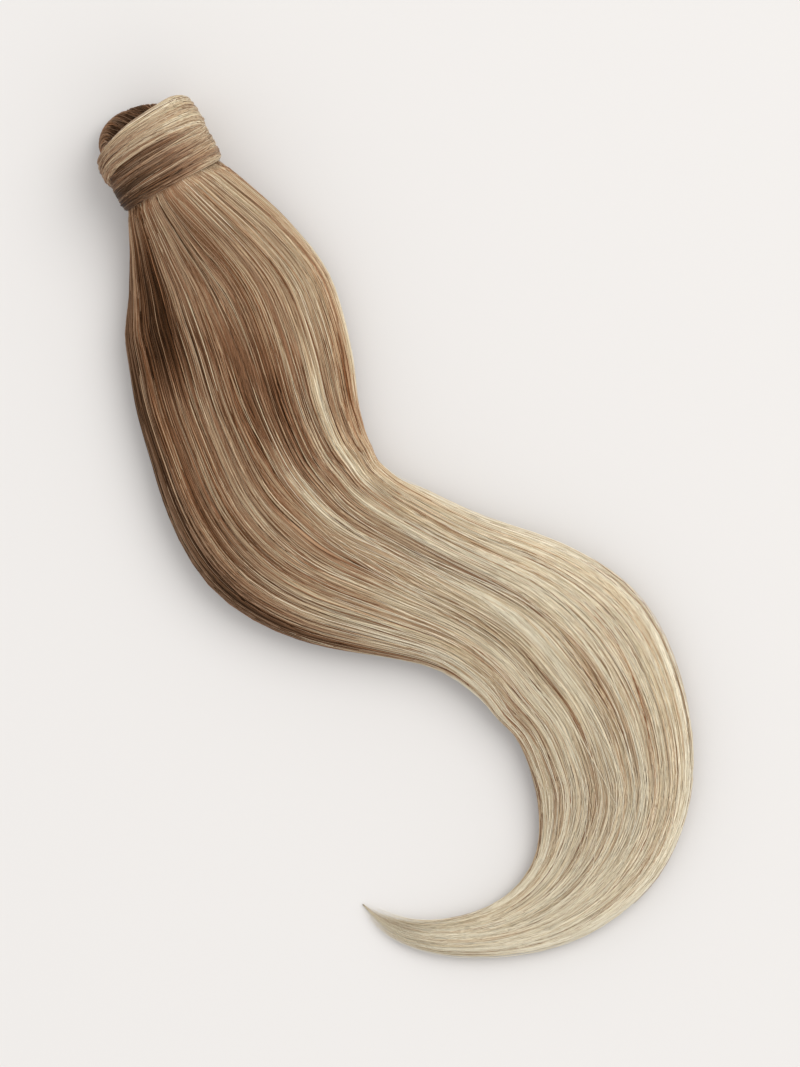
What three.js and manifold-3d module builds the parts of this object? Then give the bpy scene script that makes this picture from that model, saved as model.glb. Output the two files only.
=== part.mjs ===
// A ponytail hairpiece that lies on a flat surface: a hollow root of hair on a woven band with a comb,
// a strand wound three times round the root, and a long tail that sweeps through an S to one pointed tip.
//
// Millimetres, +Z up. The root's axis runs along Y with its mouth towards +Y, and the tail leaves towards -Y.
// The shapes are worked out with Y = 0 at the wound strand's lower edge, and the finished group is then
// moved so that the origin is the middle of its footprint, on the surface that it lies on.
import * as THREE from "three";
import { mergeVertices } from "three/addons/utils/BufferGeometryUtils.js";
import Module from "manifold-3d";

// Driving dimensions
const TAIL_LENGTH = 510; // along the middle of the hair, from the wound strand's lower edge to the tip
const TAIL_WIDTH = 100; // at the widest, lying flat
const TAIL_DEPTH = 30; // height of the widest stretch above the surface
const ROOT_LENGTH = 41; // from the wound strand's lower edge to the lip of the mouth
const ROOT_WIDTH = 43.6; // hair of the root, across
const ROOT_HEIGHT = 31.6; // hair of the root, from its underside to its top
const ROOT_WALL = 4.5; // thickness of hair round the mouth
const WRAP_LENGTH = 38; // along the root, from the lowest to the highest edge of the wound strand
const WRAP_WALL = 4.9; // thickness of hair where the strand's turns lie over each other
const BAND_LENGTH = 26; // woven band inside the root
const BAND_WALL = 1.5;
const COMB_WIDTH = 20; // across the teeth
const COMB_LENGTH = 20; // from the comb's bar to the tips of its teeth
const COMB_THICKNESS = 1.8;
const COMB_TEETH = 7;
const TOOTH_WIDTH = 1.3;
const LOCK_RISE = 2.1; // how far a lock stands out of the tail's body
const CLEARANCE = 0.3; // between pieces that touch
const SAME_POINT = 0.001; // corners closer than this are one
const SMALLEST_STEP = 0.03; // slivers thinner than this are left out of a joined surface

// Heights above the surface
const WRAP_UNDERSIDE = 0; // the wound strand rests on the surface
const ROOT_UNDERSIDE = WRAP_UNDERSIDE + WRAP_WALL + CLEARANCE;
const ROOT_AXIS_Z = ROOT_UNDERSIDE + ROOT_HEIGHT / 2;

// Roundness of the oval root and its layers: 2 is an ellipse, and more is squarer
const OVAL_POWER = 2.3;
// The tail's underside is pressed flat: its lower curve would reach this much deeper if it weren't
const PRESSED = 1.14;

// The tail's sections. at: share of TAIL_LENGTH. heading: direction in plan, in degrees.
// half: share of half of TAIL_WIDTH. top, belly and under: heights of the top, of the widest line
// and of the underside, as shares of TAIL_DEPTH, where root counts from 1 at the root to 0 on the surface.
const TAIL_SECTIONS = [
  { at: 0.0, heading: -90, half: 0.436, top: 0.9, belly: 0.55, root: 1 },
  { at: 0.006, heading: -90, half: 0.5, top: 0.9, belly: 0.53, root: 0.9 },
  { at: 0.014, heading: -90, half: 0.54, top: 0.91, belly: 0.48, root: 0.7 },
  { at: 0.03, heading: -91, half: 0.61, top: 0.96, belly: 0.42, root: 0.35 },
  { at: 0.07, heading: -96, half: 0.79, top: 0.98, belly: 0.36, root: 0 },
  { at: 0.125, heading: -104, half: 0.975, top: 1.0, belly: 0.36, root: 0 },
  { at: 0.18, heading: -108, half: 1.0, top: 0.98, belly: 0.36, root: 0 },
  { at: 0.24, heading: -104, half: 0.965, top: 0.96, belly: 0.36, root: 0 },
  { at: 0.3, heading: -86, half: 0.965, top: 0.94, belly: 0.36, root: 0 },
  { at: 0.35, heading: -60, half: 0.905, top: 0.92, belly: 0.35, root: 0 },
  { at: 0.41, heading: -45, half: 0.8, top: 0.9, belly: 0.34, root: 0 },
  { at: 0.48, heading: -49, half: 0.735, top: 0.86, belly: 0.33, root: 0 },
  { at: 0.54, heading: -59, half: 0.8, top: 0.82, belly: 0.32, root: 0 },
  { at: 0.59, heading: -77, half: 0.85, top: 0.78, belly: 0.3, root: 0 },
  { at: 0.64, heading: -97, half: 0.8, top: 0.74, belly: 0.28, root: 0 },
  { at: 0.7, heading: -116, half: 0.73, top: 0.68, belly: 0.26, root: 0 },
  { at: 0.76, heading: -136, half: 0.605, top: 0.6, belly: 0.23, root: 0 },
  { at: 0.82, heading: -163, half: 0.42, top: 0.5, belly: 0.19, root: 0 },
  { at: 0.88, heading: -194, half: 0.24, top: 0.38, belly: 0.15, root: 0 },
  { at: 0.94, heading: -214, half: 0.125, top: 0.24, belly: 0.1, root: 0 },
  { at: 1.0, heading: -230, half: 0.012, top: 0.06, belly: 0.03, root: 0 },
];
const TAIL_STEPS = 42; // sections between the root and the tip
const TAIL_SIDES = 20;
const EASING = 0.05; // share of TAIL_LENGTH over which a section's facing is evened out

// The root's lip, seen from above. up: share of ROOT_LENGTH. half and side: half width and sideways
// shift, as shares of half of ROOT_WIDTH. high: height of the section, as a share of ROOT_HEIGHT.
const LIP_SECTIONS = [
  { up: 1.0, half: 0.1, side: -0.26, high: 0.3 },
  { up: 0.985, half: 0.26, side: -0.24, high: 0.4 },
  { up: 0.955, half: 0.38, side: -0.22, high: 0.5 },
  { up: 0.9, half: 0.56, side: -0.19, high: 0.65 },
  { up: 0.83, half: 0.74, side: -0.13, high: 0.8 },
  { up: 0.76, half: 0.88, side: -0.07, high: 0.9 },
  { up: 0.66, half: 0.98, side: -0.01, high: 0.98 },
  { up: 0.6, half: 1.0, side: 0, high: 1.0 },
  { up: 0.3, half: 1.0, side: 0, high: 1.0 },
];
// The mouth is cut back on its upper side. Shares of ROOT_LENGTH where the cut meets the top and underside.
const MOUTH_CUT_TOP = 0.68;
const MOUTH_CUT_UNDERSIDE = 1.03;

// Locks on the tail. place: where round the section a lock lies, in degrees, from the edge that is on the
// right of the root, over the top, to the edge on its left. wide: half width as a share of the tail's half
// width. rise: share of LOCK_RISE. drift and waves: how far and how often it wanders, in degrees and turns.
// ends: where it runs out, as a share of TAIL_LENGTH.
const LOCKS = [
  { place: 4, wide: 0.17, rise: 0.85, drift: 5, waves: 1.2, ends: 0.93 },
  { place: 24, wide: 0.19, rise: 1.0, drift: 6, waves: 1.6, ends: 0.985 },
  { place: 44, wide: 0.17, rise: 0.85, drift: -5, waves: 1.3, ends: 0.955 },
  { place: 62, wide: 0.19, rise: 1.1, drift: 6, waves: 1.1, ends: 0.975 },
  { place: 81, wide: 0.17, rise: 0.8, drift: -6, waves: 1.7, ends: 0.94 },
  { place: 99, wide: 0.2, rise: 1.05, drift: 5, waves: 1.4, ends: 0.99 },
  { place: 118, wide: 0.18, rise: 0.85, drift: -5, waves: 1.2, ends: 0.95 },
  { place: 137, wide: 0.19, rise: 1.1, drift: 6, waves: 1.5, ends: 0.97 },
  { place: 157, wide: 0.18, rise: 0.9, drift: -5, waves: 1.3, ends: 0.935 },
  { place: 176, wide: 0.16, rise: 0.8, drift: 4, waves: 1.1, ends: 0.96 },
];
const LOCK_STEPS = 32;
const LOCK_SIDES = 8;
const LOCK_START = 0.002; // share of TAIL_LENGTH
const LOCK_FULL = 0.04; // share of TAIL_LENGTH where a lock has its full rise
const LOCK_FLOOR_GAP = 0.8; // a lock at the edge stays this far above the surface

// The wound strand's innermost turn is a plain sleeve. Shares of WRAP_LENGTH and of WRAP_WALL.
const SLEEVE = { low: 0.05, high: 0.58, build: 0.44 };
// Its outer turns. turn: turns from the left-hand side of the root, over the top. low and high: its two
// edges, as shares of WRAP_LENGTH. build: its outside, as a share of WRAP_WALL, low where it is tucked in.
const WRAP_TURNS = [
  [
    { turn: 0.68, low: 0.12, high: 0.44, build: 0.3 },
    { turn: 0.8, low: 0.02, high: 0.4, build: 0.6 },
    { turn: 1.0, low: 0.01, high: 0.36, build: 0.72 },
    { turn: 1.25, low: 0.01, high: 0.46, build: 0.76 },
    { turn: 1.5, low: 0.01, high: 0.52, build: 0.78 },
    { turn: 1.64, low: 0.08, high: 0.56, build: 0.8 },
    { turn: 1.72, low: 0.16, high: 0.56, build: 0.6 },
  ],
  [
    { turn: 1.58, low: 0.12, high: 0.5, build: 0.6 },
    { turn: 1.66, low: 0.12, high: 0.62, build: 0.84 },
    { turn: 1.82, low: 0.26, high: 0.66, build: 0.9 },
    { turn: 2.0, low: 0.34, high: 0.7, build: 0.97 },
    { turn: 2.12, low: 0.48, high: 0.8, build: 1.0 },
    { turn: 2.25, low: 0.52, high: 0.93, build: 1.0 },
    { turn: 2.37, low: 0.48, high: 0.97, build: 0.96 },
    { turn: 2.5, low: 0.42, high: 0.88, build: 0.92 },
    { turn: 2.7, low: 0.44, high: 0.84, build: 0.9 },
    { turn: 2.84, low: 0.5, high: 0.74, build: 0.34 },
  ],
];
const WRAP_STEPS_PER_TURN = 28;
const WRAP_SIDES = 14;
const WRAP_SQUARENESS = 1.2; // 1 makes a lens of the strand's section, and more gives it upright edges
const WRAP_NARROWING = { from: 0.5, by: 0.62 }; // the strand thins towards the mouth, in shares
const WRAP_EDGE = 0.5; // thickness at an edge of the strand, as a share of its build
const WRAP_FURROWS = 3; // rounded folds across the strand
const WRAP_FURROW_DEPTH = 0.05; // share of WRAP_WALL
const WRAP_INSIDE = 0.22; // the outer turns' inside, as a share of WRAP_WALL, within the sleeve

// Colours, from the brown root to the pale ends
const ROOT_BROWN = 0x8a6b50;
const TAIL_BEIGE = 0xb29a7c;
const WRAP_BLONDE = 0xb6a27d;
const BAND_BROWN = 0x4a3a2e;
const COMB_AMBER = 0x5a4030;

const wasm = await Module();
wasm.setup();

// The value of a table's column at a place, on a smooth curve that never overshoots its rows.
function columnAt(rows, key, column, place) {
  const last = rows.length - 1;
  const step = (i) => rows[i + 1][key] - rows[i][key];
  const slope = (i) => (rows[i + 1][column] - rows[i][column]) / step(i);
  const tangent = (i) => {
    if (i === 0 || i === last) return slope(i === 0 ? 0 : last - 1);
    const [before, after] = [slope(i - 1), slope(i)];
    if (before * after <= 0) return 0;
    const [near, far] = [2 * step(i) + step(i - 1), step(i) + 2 * step(i - 1)];
    return (near + far) / (near / before + far / after);
  };
  let i = 0;
  while (i < last - 1 && (rows[i + 1][key] - place) * Math.sign(step(0)) < 0) i++;
  const t = THREE.MathUtils.clamp((place - rows[i][key]) / step(i), 0, 1);
  const [square, cube] = [t * t, t * t * t];
  return (
    (2 * cube - 3 * square + 1) * rows[i][column] +
    (cube - 2 * square + t) * step(i) * tangent(i) +
    (3 * square - 2 * cube) * rows[i + 1][column] +
    (cube - square) * step(i) * tangent(i + 1)
  );
}

const range = (count, make) => Array.from({ length: count }, (_, i) => make(i));
const evenly = (from, to, steps) => range(steps + 1, (i) => from + ((to - from) * i) / steps);
const rounded = (value, power) => Math.sign(value) * Math.abs(value) ** (2 / power);

// A closed geometry as a solid for joining and cutting.
function solidOf(geometry) {
  const bare = geometry.index ? geometry.toNonIndexed() : geometry.clone();
  const position = new THREE.BufferGeometry().setAttribute("position", bare.getAttribute("position"));
  const merged = mergeVertices(position, SAME_POINT);
  return new wasm.Manifold(
    new wasm.Mesh({
      numProp: 3,
      vertProperties: merged.getAttribute("position").array,
      triVerts: new Uint32Array(merged.index.array),
    }),
  );
}

// Solids joined into one, with no sealed hollows left where they cross.
function fuse(solids) {
  const shells = wasm.Manifold.union(solids).decompose();
  return wasm.Manifold.union(shells.filter((shell) => shell.volume() > 1));
}

// A solid's surface as a three.js geometry.
function surfaceOf(solid) {
  const mesh = solid.getMesh();
  const position = new THREE.BufferAttribute(new Float32Array(mesh.vertProperties), 3);
  const geometry = new THREE.BufferGeometry().setAttribute("position", position);
  return geometry.setIndex(new THREE.BufferAttribute(new Uint32Array(mesh.triVerts), 1));
}

// The same without slivers, which can pinch off specks, so those are dropped too.
function geometryOf(solid) {
  const simple = solid.asOriginal().simplify(SMALLEST_STEP);
  const geometry = surfaceOf(fuse([solidOf(surfaceOf(simple))]));
  geometry.computeVertexNormals();
  return geometry;
}

// A solid through a run of stations: a cylinder whose rings are moved onto the stations' sections.
// pointOn takes a station, an angle round the section, and 1 on the section or 0 at its middle.
function loft(stations, sides, pointOn) {
  const steps = stations.length - 1;
  const geometry = new THREE.CylinderGeometry(1, 1, 1, sides, steps);
  const position = geometry.getAttribute("position");
  for (let i = 0; i < position.count; i++) {
    const place = new THREE.Vector3().fromBufferAttribute(position, i);
    const station = stations[Math.round((0.5 - place.y) * steps)];
    const outer = Math.hypot(place.x, place.z) > 0.5 ? 1 : 0;
    const moved = pointOn(station, Math.atan2(place.z, place.x), outer);
    position.setXYZ(i, moved.x, moved.y, moved.z);
  }
  return solidOf(geometry);
}

// The tail's middle line in plan, from its headings, as points at even steps.
const PATH_STEPS = 400;
const headingAt = (at) => THREE.MathUtils.degToRad(columnAt(TAIL_SECTIONS, "at", "heading", at));
const tailPath = [new THREE.Vector2(0, 0)];
for (let i = 0; i < PATH_STEPS; i++) {
  const heading = headingAt((i + 0.5) / PATH_STEPS);
  const stride = new THREE.Vector2(Math.cos(heading), Math.sin(heading)).multiplyScalar(TAIL_LENGTH / PATH_STEPS);
  tailPath.push(tailPath[i].clone().add(stride));
}

function pathAt(at) {
  const step = THREE.MathUtils.clamp(at, 0, 1) * PATH_STEPS;
  const i = Math.min(Math.floor(step), PATH_STEPS - 1);
  return tailPath[i].clone().lerp(tailPath[i + 1], step - i);
}

// The tail's section at a share of its length: half width, and heights of its top, belly and underside.
function tailSizes(at) {
  const column = (name) => columnAt(TAIL_SECTIONS, "at", name, at);
  const root = column("root");
  return {
    half: (column("half") * TAIL_WIDTH) / 2,
    top: column("top") * TAIL_DEPTH * (1 - root) + (ROOT_UNDERSIDE + ROOT_HEIGHT) * root,
    belly: column("belly") * TAIL_DEPTH * (1 - root) + ROOT_AXIS_Z * root,
    under: ROOT_UNDERSIDE * root,
    pressed: 1 + (PRESSED - 1) * (1 - root),
  };
}

// A point on an oval that may be pressed flat underneath, as [across, height].
function ovalPoint(sizes, angle) {
  const up = rounded(Math.sin(angle), OVAL_POWER);
  const reach = up > 0 ? sizes.top - sizes.belly : (sizes.belly - sizes.under) * sizes.pressed;
  return [sizes.half * rounded(Math.cos(angle), OVAL_POWER), Math.max(sizes.belly + reach * up, sizes.under)];
}

// The tail's frame at a share of its length turns [across, height] into a point. A section faces the mean
// of the headings round it, so that neighbours don't cross on the inside of a bend.
function tailPoint(at, across, height) {
  const near = [-EASING, 0, EASING].map((shift) => headingAt(THREE.MathUtils.clamp(at + shift, 0, 1)));
  const facing = (near[0] + near[1] + near[2]) / 3;
  const middle = pathAt(at);
  return new THREE.Vector3(middle.x - Math.sin(facing) * across, middle.y + Math.cos(facing) * across, height);
}

// The tail's body lies inside its locks, which bring it to its full width and height.
function bodySizes(at) {
  const full = tailSizes(at);
  const inset = LOCK_RISE * 0.8 * Math.min(1, at / LOCK_FULL) * Math.min(1, full.half / (LOCK_RISE * 6));
  return { ...full, half: full.half - inset, top: full.top - inset };
}

// The root's oval, grown or shrunk all round, which every layer of the root is worked out from.
function rootSizes(grow) {
  return {
    half: ROOT_WIDTH / 2 + grow,
    top: ROOT_UNDERSIDE + ROOT_HEIGHT + grow,
    belly: ROOT_AXIS_Z,
    under: ROOT_UNDERSIDE - grow,
    pressed: 1,
  };
}

// A section of the root above the wound strand's lower edge, with its lip rounded as seen from above.
function lipPoint(row, angle, outer, grow) {
  const high = row.high * ROOT_HEIGHT;
  const sizes = {
    half: (row.half * ROOT_WIDTH) / 2 + grow,
    top: ROOT_UNDERSIDE + high + grow,
    belly: ROOT_UNDERSIDE + high / 2,
    under: ROOT_UNDERSIDE - grow,
    pressed: 1,
  };
  const [across, height] = outer ? ovalPoint(sizes, angle) : [0, sizes.belly];
  return new THREE.Vector3(across + (row.side * ROOT_WIDTH) / 2, row.up * ROOT_LENGTH, height);
}

// The root and the tail's body as one solid without locks or mouth.
function makeBody() {
  const stations = [
    ...LIP_SECTIONS.map((row) => ({ row })),
    ...TAIL_SECTIONS.slice(0, 4).map((row) => ({ at: row.at })),
    ...evenly(TAIL_SECTIONS[3].at, 1, TAIL_STEPS).slice(1).map((at) => ({ at })),
  ];
  return loft(stations, TAIL_SIDES, ({ row, at }, angle, outer) => {
    if (row) return lipPoint(row, angle, outer, 0);
    const sizes = bodySizes(at);
    const [across, height] = outer ? ovalPoint(sizes, angle) : [0, sizes.belly];
    return tailPoint(at, across, height);
  });
}

// One lock: a long lens that lies on the body, follows it and thins out towards its end.
function makeLock(lock) {
  const stations = evenly(LOCK_START, lock.ends, LOCK_STEPS);
  return loft(stations, LOCK_SIDES, (at, turn, outer) => {
    const sizes = bodySizes(at);
    const wander = lock.drift * Math.sin(2 * Math.PI * (lock.waves * at + lock.place / 90));
    const angle = THREE.MathUtils.degToRad(lock.place + wander * Math.min(1, at / LOCK_FULL));
    const [before, on, after] = [-0.02, 0, 0.02].map((turned) => ovalPoint(sizes, angle + turned));
    const along = new THREE.Vector2(after[0] - before[0], after[1] - before[1]).normalize();
    const grown = Math.min(1, (at - LOCK_START) / LOCK_FULL) * Math.min(1, sizes.half / (LOCK_RISE * 6));
    const rise = LOCK_RISE * lock.rise * (0.15 + 0.85 * grown) * (at < LOCK_START + 1e-6 ? 0.1 : 1);
    const sink = LOCK_RISE * 1.3 * (0.5 + 0.5 * grown);
    const wide = lock.wide * sizes.half * (1 - 0.75 * (at / lock.ends) ** 8);
    const aside = outer * Math.cos(turn) * wide;
    const out = outer * Math.sin(turn) * (Math.sin(turn) > 0 ? rise : sink);
    const across = on[0] - along.x * aside + along.y * out;
    const height = on[1] - along.y * aside - along.x * out;
    const least = Math.min(LOCK_FLOOR_GAP, sizes.top / 3);
    return tailPoint(at, across, Math.max(height, least));
  });
}

// The room for the woven band and the wearer's own tied hair: an oval pocket, open at the mouth.
const POCKET = -ROOT_WALL;
const makePocket = () => makeOval(POCKET, 2 * ROOT_LENGTH, 0);

// What is cut away above the mouth's slanting plane.
function makeMouthCut() {
  const [topZ, underZ] = [ROOT_UNDERSIDE + ROOT_HEIGHT, ROOT_UNDERSIDE];
  const slant = ((MOUTH_CUT_UNDERSIDE - MOUTH_CUT_TOP) * ROOT_LENGTH) / ROOT_HEIGHT;
  const yAt = (z) => MOUTH_CUT_TOP * ROOT_LENGTH + (topZ - z) * slant;
  const [high, low, far] = [topZ + ROOT_HEIGHT, underZ - ROOT_HEIGHT, 3 * ROOT_LENGTH];
  const outline = [
    [yAt(high), high],
    [yAt(low), low],
    [far, low],
    [far, high],
  ].map(([y, z]) => new THREE.Vector2(y, z));
  const depth = 2 * ROOT_WIDTH;
  const wedge = new THREE.ExtrudeGeometry(new THREE.Shape(outline), { depth, bevelEnabled: false });
  // The outline's axes are Y and Z, and it is extruded along X
  wedge.applyMatrix4(new THREE.Matrix4().makeBasis(
    new THREE.Vector3(0, 1, 0),
    new THREE.Vector3(0, 0, 1),
    new THREE.Vector3(1, 0, 0),
  ));
  return solidOf(wedge.translate(-depth / 2, 0, 0));
}

function makeTail() {
  return fuse([makeBody(), ...LOCKS.map(makeLock)]).subtract(makePocket()).subtract(makeMouthCut());
}

// One turn of the wound strand: a wide, softly furrowed ribbon of hair, thinner at its edges.
function makeWrapTurn(rows) {
  const [first, last] = [rows[0].turn, rows[rows.length - 1].turn];
  const stations = evenly(first, last, Math.round((last - first) * WRAP_STEPS_PER_TURN));
  return loft(stations, WRAP_SIDES, (turn, angle, outer) => {
    const column = (name) => columnAt(rows, "turn", name, turn);
    const [low, high] = [column("low") * WRAP_LENGTH, column("high") * WRAP_LENGTH];
    const across = outer * THREE.MathUtils.clamp(WRAP_SQUARENESS * Math.cos(angle), -1, 1);
    const dome = WRAP_EDGE + (1 - WRAP_EDGE) * Math.sqrt(Math.max(0, 1 - across ** 4));
    const furrow = WRAP_FURROW_DEPTH * WRAP_WALL * Math.cos(WRAP_FURROWS * 2 * Math.PI * across);
    const along = (low + high) / 2 + (across * (high - low)) / 2;
    const thinned = 1 - WRAP_NARROWING.by * Math.max(0, along / WRAP_LENGTH - WRAP_NARROWING.from);
    const inside = CLEARANCE + WRAP_INSIDE * WRAP_WALL;
    const outside = CLEARANCE + column("build") * WRAP_WALL * dome * thinned - furrow;
    const middle = (outside + inside) / 2;
    const side = Math.abs(across) < 1 || Math.abs(Math.sin(angle)) > 0.1;
    const out = outer && side ? (Math.sin(angle) > 0 ? outside : inside) : middle;
    const [x, z] = ovalPoint(rootSizes(out), Math.PI - 2 * Math.PI * turn);
    return new THREE.Vector3(x, along, Math.max(z, WRAP_UNDERSIDE));
  });
}

// The root's oval, grown all round, as a solid from one place along it to another.
function makeOval(grow, high, low) {
  const sizes = rootSizes(grow);
  return loft([high, low], 2 * TAIL_SIDES, (y, angle, outer) => {
    const [across, height] = outer ? ovalPoint(sizes, angle) : [0, sizes.belly];
    return new THREE.Vector3(across, y, height);
  });
}

function makeWrap() {
  const [high, low] = [SLEEVE.high * WRAP_LENGTH, SLEEVE.low * WRAP_LENGTH];
  const outside = makeOval(CLEARANCE + SLEEVE.build * WRAP_WALL, high, low);
  const sleeve = outside.subtract(makeOval(CLEARANCE, high + 1, low - 1));
  return fuse([sleeve, ...WRAP_TURNS.map(makeWrapTurn)]);
}

// An oval outline for a flat shape, round the root's axis.
function ovalOutline(grow, from = 0, to = 2 * Math.PI, steps = 2 * TAIL_SIDES) {
  const sizes = rootSizes(grow);
  return evenly(from, to, steps).map((angle) => new THREE.Vector2(...ovalPoint(sizes, angle)));
}

// A flat shape in X and Z, made into a solid from y = start down to y = start - depth.
function extrudeAlongRoot(shape, start, depth) {
  const geometry = new THREE.ExtrudeGeometry(shape, { depth, bevelEnabled: false });
  return solidOf(geometry.rotateX(Math.PI / 2).translate(0, start, 0));
}

const BAND_OUTSIDE = POCKET - CLEARANCE;
const BAND_INSIDE = BAND_OUTSIDE - BAND_WALL;
const BAND_END = CLEARANCE + BAND_LENGTH; // it stands on the pocket's bottom

function makeBand() {
  const shape = new THREE.Shape(ovalOutline(BAND_OUTSIDE).slice(1));
  shape.holes.push(new THREE.Path(ovalOutline(BAND_INSIDE).slice(1)));
  return extrudeAlongRoot(shape, BAND_END, BAND_LENGTH);
}

// The comb lies against the band's upper wall, with its teeth towards the tail.
function makeComb() {
  const [outside, inside] = [BAND_INSIDE - CLEARANCE, BAND_INSIDE - CLEARANCE - COMB_THICKNESS];
  const spread = Math.asin(Math.min(1, COMB_WIDTH / (ROOT_WIDTH + 2 * outside)) ** (OVAL_POWER / 2));
  const [from, to] = [Math.PI / 2 - spread, Math.PI / 2 + spread];
  const barSteps = 12;
  const bar = new THREE.Shape([
    ...ovalOutline(outside, from, to, barSteps),
    ...ovalOutline(inside, from, to, barSteps).reverse(),
  ]);
  const barLength = 2 * COMB_THICKNESS;
  const barEnd = BAND_END - COMB_THICKNESS;
  const solids = [extrudeAlongRoot(bar, barEnd, barLength)];
  const toothLength = COMB_LENGTH - barLength / 2;
  const middle = rootSizes((outside + inside) / 2);
  for (const share of evenly(-1, 1, COMB_TEETH - 1)) {
    const across = (share * (COMB_WIDTH - 2 * TOOTH_WIDTH)) / 2;
    const angle = Math.PI / 2 - Math.sign(across) * Math.asin(Math.abs(across / middle.half) ** (OVAL_POWER / 2));
    const [x, z] = ovalPoint(middle, angle);
    const tooth = new THREE.CylinderGeometry(TOOTH_WIDTH / 2, TOOTH_WIDTH / 4, toothLength, 8);
    solids.push(solidOf(tooth.translate(x, barEnd - barLength / 2 - toothLength / 2, z)));
  }
  return wasm.Manifold.union(solids);
}

function piece(name, solid, color, roughness) {
  const mesh = new THREE.Mesh(
    geometryOf(solid),
    new THREE.MeshStandardMaterial({ color, roughness, metalness: 0 }),
  );
  mesh.name = name;
  return mesh;
}

const hairpiece = new THREE.Group();
hairpiece.add(
  piece("tail_hair", makeTail(), TAIL_BEIGE, 0.45),
  piece("wrap_strand", makeWrap(), WRAP_BLONDE, 0.45),
  piece("root_band", makeBand(), BAND_BROWN, 0.9),
  piece("comb", makeComb(), COMB_AMBER, 0.3),
);

// The origin goes to the middle of the footprint, on the surface
const box = new THREE.Box3().setFromObject(hairpiece);
const middle = box.getCenter(new THREE.Vector3());
for (const mesh of hairpiece.children) mesh.position.set(-middle.x, -middle.y, -box.min.z);

export default hairpiece;
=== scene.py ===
"""The look of a ponytail hairpiece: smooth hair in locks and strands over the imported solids.

Shapes are worked out in millimetres with y = 0 at the wound strand's lower edge and the root's axis
along y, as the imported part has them, and are put into the frame in metres.
"""

import logging
import math
from collections.abc import Sequence
from dataclasses import dataclass
from enum import Enum

import bmesh
import bpy
import numpy as np
from mathutils import Matrix, Vector

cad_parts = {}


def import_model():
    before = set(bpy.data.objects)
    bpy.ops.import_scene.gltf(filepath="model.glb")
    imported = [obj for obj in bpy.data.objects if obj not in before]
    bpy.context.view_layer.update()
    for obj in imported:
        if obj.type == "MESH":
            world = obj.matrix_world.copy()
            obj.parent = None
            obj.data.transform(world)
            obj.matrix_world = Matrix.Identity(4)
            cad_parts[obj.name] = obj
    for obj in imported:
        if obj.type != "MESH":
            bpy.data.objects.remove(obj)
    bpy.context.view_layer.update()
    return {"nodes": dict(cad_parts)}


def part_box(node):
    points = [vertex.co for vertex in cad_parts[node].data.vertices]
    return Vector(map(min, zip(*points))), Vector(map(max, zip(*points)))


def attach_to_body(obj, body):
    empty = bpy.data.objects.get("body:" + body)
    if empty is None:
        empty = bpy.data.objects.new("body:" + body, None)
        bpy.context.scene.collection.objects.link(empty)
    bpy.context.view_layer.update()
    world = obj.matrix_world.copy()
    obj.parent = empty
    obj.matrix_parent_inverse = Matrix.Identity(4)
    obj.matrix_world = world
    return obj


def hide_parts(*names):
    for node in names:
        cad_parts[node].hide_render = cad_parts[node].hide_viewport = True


LOG = logging.getLogger("hairpiece")
MM = 0.001
UV_NAME = "OFBake"
SHADE = "shade"
WARMTH = "warmth"
SEAM_GAP = 1e-7


class Slot(Enum):
    """Names of the record's material slots, which this script does not use."""

    TAIL = "tail_hair"
    WRAP = "wrap_hair"
    BAND = "band_weave"
    COMB = "comb_plastic"


class CadNode(Enum):
    """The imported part's nodes."""

    TAIL = "tail_hair"
    WRAP = "wrap_strand"
    BAND = "root_band"
    COMB = "comb"


@dataclass(frozen=True)
class TailSection:
    """One section of the tail.

    Args:
        at: Share of the tail's length.
        heading: Direction in plan, in degrees.
        half: Share of half of the tail's width.
        top: Height of the top, as a share of the tail's depth.
        belly: Height of the widest line, as a share of the tail's depth.
        root: 1 where the section is the root's oval, 0 where it lies on the surface.
    """

    at: float
    heading: float
    half: float
    top: float
    belly: float
    root: float


TAIL_SECTIONS = (
    TailSection(0.0, -90, 0.436, 0.9, 0.55, 1),
    TailSection(0.006, -90, 0.5, 0.9, 0.53, 0.9),
    TailSection(0.014, -90, 0.54, 0.91, 0.48, 0.7),
    TailSection(0.03, -91, 0.61, 0.96, 0.42, 0.35),
    TailSection(0.07, -96, 0.79, 0.98, 0.36, 0),
    TailSection(0.125, -104, 0.975, 1.0, 0.36, 0),
    TailSection(0.18, -108, 1.0, 0.98, 0.36, 0),
    TailSection(0.24, -104, 0.965, 0.96, 0.36, 0),
    TailSection(0.3, -86, 0.965, 0.94, 0.36, 0),
    TailSection(0.35, -60, 0.895, 0.92, 0.35, 0),
    TailSection(0.41, -45, 0.785, 0.9, 0.34, 0),
    TailSection(0.48, -49, 0.7, 0.86, 0.33, 0),
    TailSection(0.54, -59, 0.77, 0.82, 0.32, 0),
    TailSection(0.59, -77, 0.825, 0.78, 0.3, 0),
    TailSection(0.64, -97, 0.77, 0.74, 0.28, 0),
    TailSection(0.7, -116, 0.71, 0.68, 0.26, 0),
    TailSection(0.76, -139, 0.595, 0.6, 0.23, 0),
    TailSection(0.82, -166, 0.4, 0.5, 0.19, 0),
    TailSection(0.88, -192, 0.235, 0.38, 0.15, 0),
    TailSection(0.94, -215, 0.115, 0.24, 0.1, 0),
    TailSection(1.0, -256, 0.01, 0.06, 0.03, 0),
)


@dataclass(frozen=True)
class Flow:
    """How far the hair has wandered round the section towards its right edge at a place.

    Args:
        at: Share of the tail's length.
        turned: Degrees round the section.
        shade: How light the hair is there, from 0, dark brown, to 1, cream.
        warmth: Above 0 is redder, below 0 is greyer.
    """

    at: float
    turned: float
    shade: float
    warmth: float


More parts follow.
